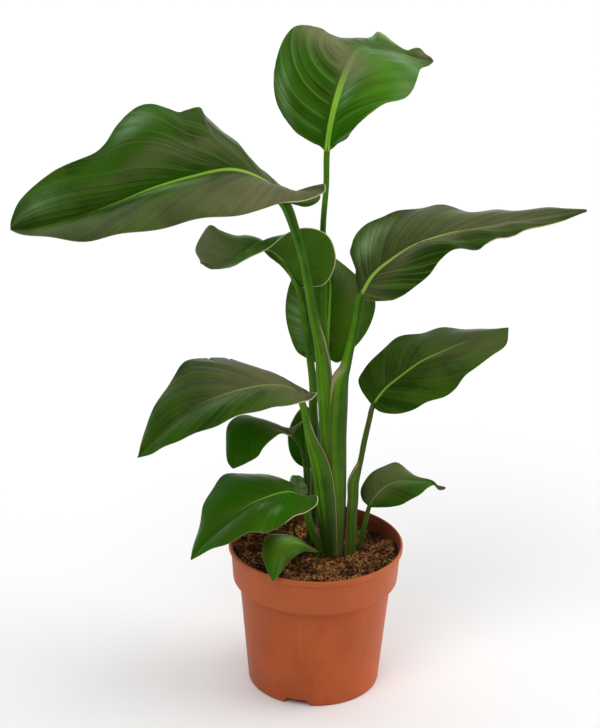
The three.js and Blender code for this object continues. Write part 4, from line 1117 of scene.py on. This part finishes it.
def bladeRelief(name, surface):
    # the height of pleats, wrinkles and rib at each point, and the values that the colours follow
    look = leafLook(name)
    out, t = surface["out"], surface["t"]
    sweep, path, bend = (byHalf(surface, look[key]) for key in ("sweep", "veinPath", "veinBend"))
    pleat = byHalf(surface, look["pleat"])
    fromRib = out * surface["width"] / surface["ribHalf"]
    vein = t * (1 + bend * out - sweep * out**path) * look["veins"]
    halfSeed = byHalf(surface, (0.0, blade["halfShift"]))
    pleats, crests = pleating(vein + 3 * halfSeed, sorted(leafShapes).index(name))
    fadeStart, fadeEnd, loss = blade["tipFade"]
    envelope = fade(*blade["pleatStart"], fromRib) * (1 - blade["pleatLoss"] * out**2)
    envelope = envelope * fade(0, blade["baseFade"], t) * (1 - loss * fade(fadeStart, fadeEnd, t))
    finer = blade["finePleat"] * np.sin(2 * math.pi * (vein + 0.3 * np.sin(1.7 * vein)))
    lift = pleat * envelope * (pleats + finer) + wrinkled(surface, look["wrinkles"])
    depth, place, width = blade["grooves"]
    ridge = np.clip(1 - fromRib**2, 0, 1)**0.5 - depth * np.exp(-((fromRib - place) / width)**2)
    lift = lift + blade["ribRise"] * ridge * (1 - blade["ribFall"] * t) * fade(0, 0.02, t)
    fromMargin = (1 - out) * surface["width"]
    ribTone, toneEnd = look["ribTone"]
    toneStart = toneEnd - blade["toneFade"]
    return lift, {
        "rib": fromRib, "edge": fromMargin / blade["marginWidth"], "vein": vein + halfSeed,
        "bloom": spots(surface, look["bloom"]), "cream": creamStretches(surface, look["cream"]),
        "dry": fade(1 - look["dryTip"], 1 - 0.3 * look["dryTip"], t),
        "fresh": byHalf(surface, look["fresh"]), "ribTone": ribTone * (1 - fade(toneStart, toneEnd, t)),
        "lime": spots(surface, look["lime"]), "wax": spots(surface, look["wax"]),
        "crests": crests, "relief": envelope * pleat / blade["fullRelief"],
    }


def makeBlade(name, pieceName, materials):
    surface = bladeSurface(name)
    normals = surfaceNormals(surface["points"])
    lift, values = bladeRelief(name, surface)
    sheet, row, column = addGrid(surface["points"] + normals * lift[..., None])
    for key, value in values.items():
        storeValues(sheet.data, key, value[row, column])
    for material in materials:
        sheet.data.materials.append(material)
    applyModifier(sheet, "SOLIDIFY", thickness=blade["thickness"], offset=0, material_offset=1)
    thick = pointsOf(sheet.data)
    dome = np.clip(1 - values["rib"]**2, 0, 1)**0.5
    keel = blade["keel"] * leafLook(name)["rib"] * dome * (1 - surface["t"]**leafShapes[name]["fan"])
    thick[len(row):] -= (normals * keel[..., None])[row, column]
    movePoints(sheet.data, thick)
    bpy.ops.object.shade_smooth_by_angle(angle=math.radians(blade["smoothAngle"]))
    settle(sheet, pieceName, [name + "_leaf_blade"])
    return surface


leafColours = {
    "deep": (0.013, 0.041, 0.001),
    "middle": (0.034, 0.090, 0.004),
    "bright": (0.022, 0.110, 0.0008),
    "vivid": (0.030, 0.170, 0.001),
    "lime": (0.17, 0.30, 0.015),
    "under": (0.060, 0.160, 0.008),
    "vein": (0.12, 0.175, 0.045),
    "rib": (0.29, 0.56, 0.050),
    "underRib": (0.20, 0.33, 0.08),
    "bloomedRib": (0.26, 0.22, 0.14),
    "bloom": (0.195, 0.172, 0.090),
    # a waxy green painted where the leaves show a sheen: a painted highlight
    "wax": (0.22, 0.36, 0.17),
    "cream": (0.55, 0.52, 0.30),
    "dry": (0.12, 0.085, 0.050),
    "shine": (0.50, 1.0, 0.30),  # a green tint on what the leaves reflect
}

leafTexture = {
    "scales": {"patches": 24, "wide": 0.35, "middle": 1.6, "fine": 9, "pale": 2.3, "grain": 900},
    # how far each pattern lightens and darkens the green; crest is painted light on the pleats' crests and
    # painted shade in their troughs
    "tones": {"patches": 0.28, "wide": 0.16, "middle": 0.12, "fine": 0.10, "crest": 0.28},
    "smoothVeins": 0.35,  # strength of the veins on leaves without pleats
    "paleVeins": 0.35,
    # strength of the highlight painted along the pleats' crests
    "crestHighlight": 0.5,
    "limeShare": 0.7,
    # share of the painted sheen's waxy green
    "sheenShare": 0.75,
    "bloomShare": 0.75,
    "ribBloom": 0.6,
    "thinEdge": 0.25,
    "upperRoughness": 0.25,
    "underRoughness": 0.45,
    "bloomRoughness": 0.46,
    "bump": 0.00012,
}


def leafFace(name, upper):
    # the upper face, or the paler and duller one below
    material, tree, shader = newMaterial(name, IOR=1.45)
    shader.inputs["Specular IOR Level"].default_value = 0.08
    shader.inputs["Specular Tint"].default_value = (*leafColours["shine"], 1)
    scales, tones = leafTexture["scales"], leafTexture["tones"]
    where = objectPoint(tree)
    vein, relief, bloom = (attribute(tree, key) for key in ("vein", "relief", "bloom"))
    patches = mottle(tree, where, scales["patches"], 3)
    middle = streaks(tree, vein, scales["middle"])
    fine = streaks(tree, vein, scales["fine"], 3)
    # 0 on a crest, 1 halfway to the next one
    fromCrest = times(tree, maths(tree, "PINGPONG", attribute(tree, "crests"), 0.5), 2.0)
    ribbing = between(tree, relief, 0, 0.8, leafTexture["smoothVeins"], 1.0)
    veined = added(tree, swing(tree, middle, tones["middle"], 0.12), swing(tree, fine, tones["fine"], 0.15))
    tone = added(
        tree,
        times(tree, veined, ribbing),
        swing(tree, streaks(tree, vein, scales["wide"]), tones["wide"]),
        swing(tree, patches, tones["patches"]),
        # painted light on the pleats' crests, painted shade in their troughs
        times(tree, relief, between(tree, fromCrest, 0, 0.8, tones["crest"], -tones["crest"])),
        attribute(tree, "fresh"),
    )
    if upper:
        greens = ((0.0, 0.6, "middle"), (0.5, 1.2, "bright"), (1.15, 1.7, "vivid"))
        colour = shades(tree, tone, leafColours, "deep", greens)
    else:
        colour = shades(tree, tone, leafColours, "middle", ((-0.1, 1.0, "under"),))

    def cover(share, coat):
        return mixColour(tree, share, colour, leafColours[coat])

    colour = cover(times(tree, attribute(tree, "lime"), leafTexture["limeShare"]), "lime")
    pale = streaks(tree, vein, scales["pale"], 1)
    line = times(tree, between(tree, pale, 0.60, 0.70, 0, leafTexture["paleVeins"]), ribbing)
    # a pale line painted along each crest: a painted highlight
    crest = times(tree, between(tree, fromCrest, 0.02, 0.12, leafTexture["crestHighlight"], 0), relief)
    colour = cover(maths(tree, "MAXIMUM", line, crest), "vein")
    streaky = between(tree, added(tree, middle, patches), 0.8, 1.15, 0.3, 1.0)
    # waxy green painted where the leaf shows a sheen: a painted highlight
    sheened = times(tree, attribute(tree, "wax"), streaky)
    colour = cover(times(tree, sheened, leafTexture["sheenShare"]), "wax")
    mixed = added(tree, times(tree, maths(tree, "SUBTRACT", middle, 0.5), ribbing), 0.5, patches)
    bloomed = times(tree, bloom, between(tree, mixed, 0.7, 1.25, 0.7, 1.0))
    colour = cover(times(tree, bloomed, leafTexture["bloomShare"]), "bloom")
    bareRib = leafColours["rib" if upper else "underRib"]
    ribBloom = times(tree, bloom, leafTexture["ribBloom"])
    ribTint = mixColour(tree, ribBloom, bareRib, leafColours["bloomedRib"])
    ribbed = times(tree, between(tree, attribute(tree, "rib"), 0.7, 1.2, 1, 0), attribute(tree, "ribTone"))
    colour = mixColour(tree, ribbed, colour, ribTint)
    edge = attribute(tree, "edge")
    thinEdge = times(tree, between(tree, edge, 0.15, 0.5, 1, 0), leafTexture["thinEdge"])
    wideEdge = times(tree, between(tree, edge, 0.4, 1.0, 1, 0), attribute(tree, "cream"))
    colour = cover(maths(tree, "MAXIMUM", thinEdge, wideEdge), "cream")
    colour = cover(attribute(tree, "dry"), "dry")
    tree.links.new(colour, shader.inputs["Base Color"])
    bare = leafTexture["upperRoughness" if upper else "underRoughness"]
    rough = between(tree, bloomed, 0, 1, bare, leafTexture["bloomRoughness"])
    tree.links.new(added(tree, rough, swing(tree, patches, 0.05)), shader.inputs["Roughness"])
    lined = times(tree, added(tree, fine, times(tree, middle, 1.5)), ribbing)
    grain = times(tree, mottle(tree, where, scales["grain"], 2), 0.35)
    pleat = times(tree, relief, between(tree, fromCrest, 0.0, 0.6, 6.0, 0.0))
    height = added(tree, lined, grain, pleat)
    tree.links.new(bump(tree, height, leafTexture["bump"]), shader.inputs["Normal"])
    return material


stalkLook = {
    "sides": 36,
    "step": 0.0018,  # distance of the rings along the stalk
    "under": 0.030,  # how far a stalk runs on under the midrib
    "underShare": 0.3,  # and at most this share of the midrib
    "underSteps": (0.0, 0.3, 0.65, 1.0),
    "underTaper": 0.8,
    "underGap": 0.0002,
    "wrap": 0.10,  # how far a sheath's wall winds inwards, as a share of the stalk's width
    "farSide": 0.05,  # turns added beyond the sheath's margin, where its pale band is narrower
    "sheathFade": (0.92, 0.02),  # it ends between this share of itself and this much past its end
    "tintReach": (0.0010, 0.0085),  # from the sheath's margin, where its brown tint fades
    "lobes": (0.02, 3, 0.7),  # height, count and phase of what makes a foot uneven
    "ridges": ((0.003, 7, 0), (0.002, 15, 1)),
    "smoothAngle": 50,
    "colour": (0.052, 0.145, 0.005),
    "pale": (0.105, 0.27, 0.009),
    "dark": (0.016, 0.050, 0.003),
    # bluish colour for random patches and for a painted sheen on the stalks' right sides
    "bluish": (0.035, 0.100, 0.024),
    "brownish": (0.085, 0.085, 0.026),
    # the foot colour: painted shade under the leaves, with some real brown
    "foot": (0.045, 0.055, 0.014),
    "margin": (0.42, 0.36, 0.18),
    "scales": {"patches": 26, "lines": 9, "broad": 1.6},
    # side: painted light and shade, each stalk lighter on its left and darker on its right
    "tones": {"patches": 0.3, "lines": 0.36, "broad": 0.25, "side": -0.3},
    "bump": 0.00006,
    "shades": {  # how bright each one is at its foot and at its top, partly painted light and shade such as a dark foot in the leaves' shadow, and how brown
        "top": (0.2, 0.25, 0, 0),
        "upper_left": (0.95, -0.1, 0, 0),
        "twisted": (-0.1, 0.1, 0.8, 0),
        "rear": (0.2, 0.4, 0, 0),
        "upper_right": (0.35, 0.15, 0.5, 0),
        "middle_left": (-1.0, 0.95, 0.15, 0),
        "middle_right": (0.3, -0.3, 0.1, 0.5),
        "hanging": (-0.3, -0.2, 0.1, 0.4),
        "inner": (-0.1, -0.1, 0, 0),
        "lower_left": (0.5, -0.2, 0, 0.1),
        "lower_right": (0, -0.2, 0.2, 0.2),
        "rim": (-0.2, -0.2, 0.2, 0.2),
        "wilted": (-0.4, -0.4, 0.4, 0.4),
    },
}

# for each stalk: the angle from -Y (towards +X) of its sheath's free margin, at the foot and at
# the top of the sheath, the share of the stalk that is sheath and the width of its pale margin
sheaths = {
    "top": (40, 40, 0.0, 0.0015),
    "upper_left": (62, 62, 0.64, 0.0014),
    "twisted": (0, 0, 0.0, 0.0015),
    "rear": (0, 0, 0.0, 0.0015),
    "upper_right": (-60, -68, 0.70, 0.0035),
    "middle_left": (72, 68, 0.78, 0.0013),
    "middle_right": (-52, -66, 0.58, 0.0013),
    "hanging": (90, 90, 0.4, 0.001),
    "inner": (0, 0, 0.0, 0.001),
    "lower_left": (60, 60, 0.5, 0.001),
    "lower_right": (-60, -60, 0.4, 0.001),
    "rim": (60, 60, 0.3, 0.001),
    "wilted": (0, 0, 0.0, 0.001),
}


def stalkGreen():
    material, tree, shader = newMaterial("stalkGreen", IOR=1.45)
    shader.inputs["Specular IOR Level"].default_value = 0.2
    shader.inputs["Specular Tint"].default_value = (*leafColours["shine"], 1)
    scales, tones = stalkLook["scales"], stalkLook["tones"]
    around, side = attribute(tree, "round"), attribute(tree, "side")
    lines = streaks(tree, around, scales["lines"], 3)
    broad = streaks(tree, around, scales["broad"], 1)
    patches = mottle(tree, objectPoint(tree), scales["patches"], 3)
    tone = added(
        tree,
        swing(tree, lines, tones["lines"]),
        swing(tree, patches, tones["patches"]),
        swing(tree, broad, tones["broad"]),
        # painted light on the stalk's left side and painted shade on its right
        times(tree, side, tones["side"]),
        attribute(tree, "tone"),
    )
    colour = shades(tree, tone, stalkLook, "dark", ((-0.45, 0.2, "colour"), (0.1, 0.7, "pale")))
    # bluish patches, with a painted bluish sheen growing towards the stalk's right side
    blueSheen = added(tree, patches, times(tree, side, 0.25))
    colour = mixColour(tree, between(tree, blueSheen, 0.5, 0.9, 0, 0.7), colour, stalkLook["bluish"])
    # darker and browner towards the foot: painted shade under the leaves, and some real browning
    footShadeShare = between(tree, attribute(tree, "along"), 0.0, 0.12, 0.6, 0)
    colour = mixColour(tree, footShadeShare, colour, stalkLook["foot"])
    tinted = times(tree, attribute(tree, "sheathTint"), between(tree, lines, 0.3, 0.7, 0.45, 0.9))
    tinted = maths(tree, "MAXIMUM", tinted, attribute(tree, "brown"))
    colour = mixColour(tree, tinted, colour, stalkLook["brownish"])
    colour = mixColour(tree, attribute(tree, "sheathEdge"), colour, stalkLook["margin"])
    tree.links.new(colour, shader.inputs["Base Color"])
    tree.links.new(between(tree, patches, 0.3, 0.7, 0.5, 0.62), shader.inputs["Roughness"])
    tree.links.new(bump(tree, lines, stalkLook["bump"]), shader.inputs["Normal"])
    return material


def stalkPath(name, surface):
    # the stalk's own points, then a few under the midrib, with the half-widths at each
    shape = leafShapes[name]
    midrib = surface["midrib"]
    column = int(np.argmin(surface["out"][0]))
    normals = surfaceNormals(surface["points"])[:, column]
    length = curveLength(midrib)
    reach = min(stalkLook["under"], stalkLook["underShare"] * length) / length
    *widths, end = metres(shape["stalkWidths"])
    path = [*metres(shape["stalk"])[:-1]]
    for u in stalkLook["underSteps"]:
        size = end * (1 - stalkLook["underTaper"] * u)
        row = int(round((reach * u)**(1 / shape["fan"]) * (len(normals) - 1)))
        depth = size.min() * (0.35 + 0.65 * min(1, 3 * u)) + stalkLook["underGap"]
        path.append(tuple(atShare(midrib, np.array([reach * u]))[0] - normals[max(row, 3)] * depth))
        widths.append(tuple(size))
    return path, widths


def stalkRings(path, widths):
    # evenly spaced places along the stalk: its middle line, its half-widths and the share of its length
    line = smoothCurve(path)
    # the third number keeps neighbours with equal widths apart
    sizes = smoothCurve([(*w, 0.1 * k) for k, w in enumerate(widths)])
    lengths = np.concatenate([[0], np.cumsum(np.linalg.norm(np.diff(line, axis=0), axis=1))])
    rings = max(12, round(lengths[-1] / stalkLook["step"]))
    place = np.linspace(0, lengths[-1], rings + 1)
    line = np.stack([np.interp(place, lengths, line[:, k]) for k in range(3)], -1)
    sizes = np.stack([np.interp(place, lengths, sizes[:, k]) for k in range(2)], -1)
    return line, sizes, place / lengths[-1]


def makeStalk(name, pieceName, surface, material):
    line, sizes, share = stalkRings(*stalkPath(name, surface))
    direction = unit(np.gradient(line, axis=0))
    sideways = unit(np.cross(np.array([0, 1.0, 0]), direction))
    depthwise = np.cross(direction, sideways)
    startAngle, endAngle, sheathShare, band = sheaths[name]
    sheathEnd = max(sheathShare, 0.01)
    margin = np.radians(startAngle + (endAngle - startAngle) * share / sheathEnd)
    before, past = stalkLook["sheathFade"]
    sheathed = 1 - fade(sheathShare * before, sheathShare + past, share) if sheathShare else 0 * share
    turn = np.linspace(0, 1, stalkLook["sides"] + 1)
    angle = margin[:, None] + 2 * math.pi * turn[None, :]  # measured from -Y towards +X
    # the free margin lies on the outside and the wall winds inwards all the way round
    scale = 1 + (stalkLook["wrap"] * sheathed)[:, None] * (0.5 - turn[None, :])
    height, count, phase = stalkLook["lobes"]
    scale = scale * (1 + height * np.sin(count * angle + phase) * (1 - share[:, None]))
    ridge = sum(height * np.sin(count * angle + phase) for height, count, phase in stalkLook["ridges"])
    scale = scale * (1 + ridge * (1 - 0.5 * share[:, None]))
    x = np.sin(angle) * sizes[:, :1] * scale
    y = -np.cos(angle) * sizes[:, 1:] * scale
    ring = line[:, None] + sideways[:, None] * x[..., None] + depthwise[:, None] * y[..., None]
    ring = np.concatenate([ring, ring[:, :1]], 1)
    tube, row, column = addGrid(ring)
    turned = np.concatenate([turn, [0]])[column]
    fromEdge = np.minimum(turned, 1 + stalkLook["farSide"] - turned) * 2 * math.pi * sizes.mean(1)[row]
    wider = band * (1 + 1.5 * fade(0.8, 1, share / sheathEnd))[row]
    # each stalk's brightness from foot to top is partly painted light and shade, such as a dark foot in the
    # leaves' shadow
    footTone, topTone, footBrown, topBrown = stalkLook["shades"][name]
    values = {
        "round": turned * 2 * math.pi,
        "along": share[row],
        # side runs from -1 on the left to 1 on the right, for the painted light and shade across the stalk
        "side": np.sin(np.concatenate([angle, angle[:, :1]], 1))[row, column],
        "sheathEdge": (1 - fade(0.3 * wider, 1.1 * wider, fromEdge)) * sheathed[row],
        "sheathTint": (1 - fade(*stalkLook["tintReach"], fromEdge)) * sheathed[row],
        "tone": (footTone + (topTone - footTone) * share)[row],
        "brown": (footBrown + (topBrown - footBrown) * fade(0, 0.8, share))[row],
    }
    for key, value in values.items():
        storeValues(tube.data, key, value)
    editAll()
    bpy.ops.mesh.remove_doubles(threshold=0.00001)
    bpy.ops.mesh.select_all(action="SELECT")
    bpy.ops.mesh.fill_holes(sides=0)
    faceOutwards()
    bpy.ops.object.shade_smooth_by_angle(angle=math.radians(stalkLook["smoothAngle"]))
    tube.data.materials.append(material)
    settle(tube, pieceName, [name + "_leaf_stalk"])


def camel(name, ending):
    first, *others = name.split("_")
    return first + "".join(word.title() for word in others) + ending


leafFaces = [leafFace("leafUpperFace", True), leafFace("leafUnderFace", False)]
stalkSkin = stalkGreen()
for leafName in leafShapes:
    bladeShape = makeBlade(leafName, camel(leafName, "LeafBlade"), leafFaces)
    makeStalk(leafName, camel(leafName, "LeafStalk"), bladeShape, stalkSkin)
print("leaves done")


# ---- floor, light and camera ----

studio = {
    "floorSize": 14.0,
    "floorColour": (0.88, 0.88, 0.88),
    "frontGlow": 0.25,
    "backdropGlow": 1.0,
    "backdrop": (-0.4, 0.9),  # the glow grows between these distances behind the plant
    "backdropLean": (0.55, 0.7),  # how much the right and the top count as behind
    "left": {"from": (-0.30, -0.52, 0.80), "spread": 32, "strength": 0.95},
    "right": {"from": (0.90, 0.10, 0.50), "spread": 50, "strength": 1.2},
}

camera = {
    "place": (-0.0183, -1.76165, 1.04505),
    "pitch": 22.0,
    "roll": 0.95,
    "focal": 2018,  # in pixels of the photograph
    "frameHeight": 728,
    "sensor": 36,
}


def makeFloor():
    deselectAll()
    bpy.ops.mesh.primitive_plane_add(size=studio["floorSize"], location=(0, 0, 0))
    floor = bpy.context.object
    floor.name = "studioFloor"
    material, _, shader = newMaterial("studioFloor", Roughness=0.8)
    shader.inputs["Base Color"].default_value = (*studio["floorColour"], 1)
    floor.data.materials.append(material)


def addLight(name):
    # a broad, even light from far away
    look = studio[name]
    deselectAll()
    bpy.ops.object.light_add(type="SUN", location=look["from"])
    light = bpy.context.object
    light.name = name + "Light"
    light.data.energy = look["strength"]
    light.data.angle = math.radians(look["spread"])
    light.rotation_euler = (-Vector(look["from"])).to_track_quat("-Z", "Y").to_euler()


def addCamera():
    deselectAll()
    bpy.ops.object.camera_add(location=camera["place"])
    view = bpy.context.object
    down, roll = math.radians(camera["pitch"]), math.radians(camera["roll"])
    forward = Vector((0, math.cos(down), -math.sin(down)))
    level, rise = Vector((1, 0, 0)), Vector((0, math.sin(down), math.cos(down)))
    right = level * math.cos(roll) + rise * math.sin(roll)
    up = rise * math.cos(roll) - level * math.sin(roll)
    view.rotation_euler = Matrix((right, up, -forward)).transposed().to_euler()
    view.data.sensor_width = camera["sensor"]
    view.data.lens = camera["focal"] * camera["sensor"] / camera["frameHeight"]
    bpy.context.scene.camera = view


def lightWorld():
    # a pale backdrop behind the plant and a dimmer room in front of it
    world = bpy.data.worlds.new("studioWorld")
    world.use_nodes = True
    tree = world.node_tree
    direction = addNode(tree, "ShaderNodeTexCoord", {}).outputs["Generated"]
    parts = addNode(tree, "ShaderNodeSeparateXYZ", {"Vector": direction}).outputs
    sideways, rise = studio["backdropLean"]
    back = added(tree, parts["Y"], times(tree, parts["X"], sideways), times(tree, parts["Z"], rise))
    glow = between(tree, back, *studio["backdrop"], studio["frontGlow"], studio["backdropGlow"])
    tree.links.new(glow, tree.nodes["Background"].inputs["Strength"])
    tree.nodes["Background"].inputs["Color"].default_value = (1, 1, 1, 1)
    bpy.context.scene.world = world
    bpy.context.scene.view_settings.view_transform = "Standard"


makeFloor()
for lightName in ("left", "right"):
    addLight(lightName)
addCamera()
lightWorld()
print("stage done")
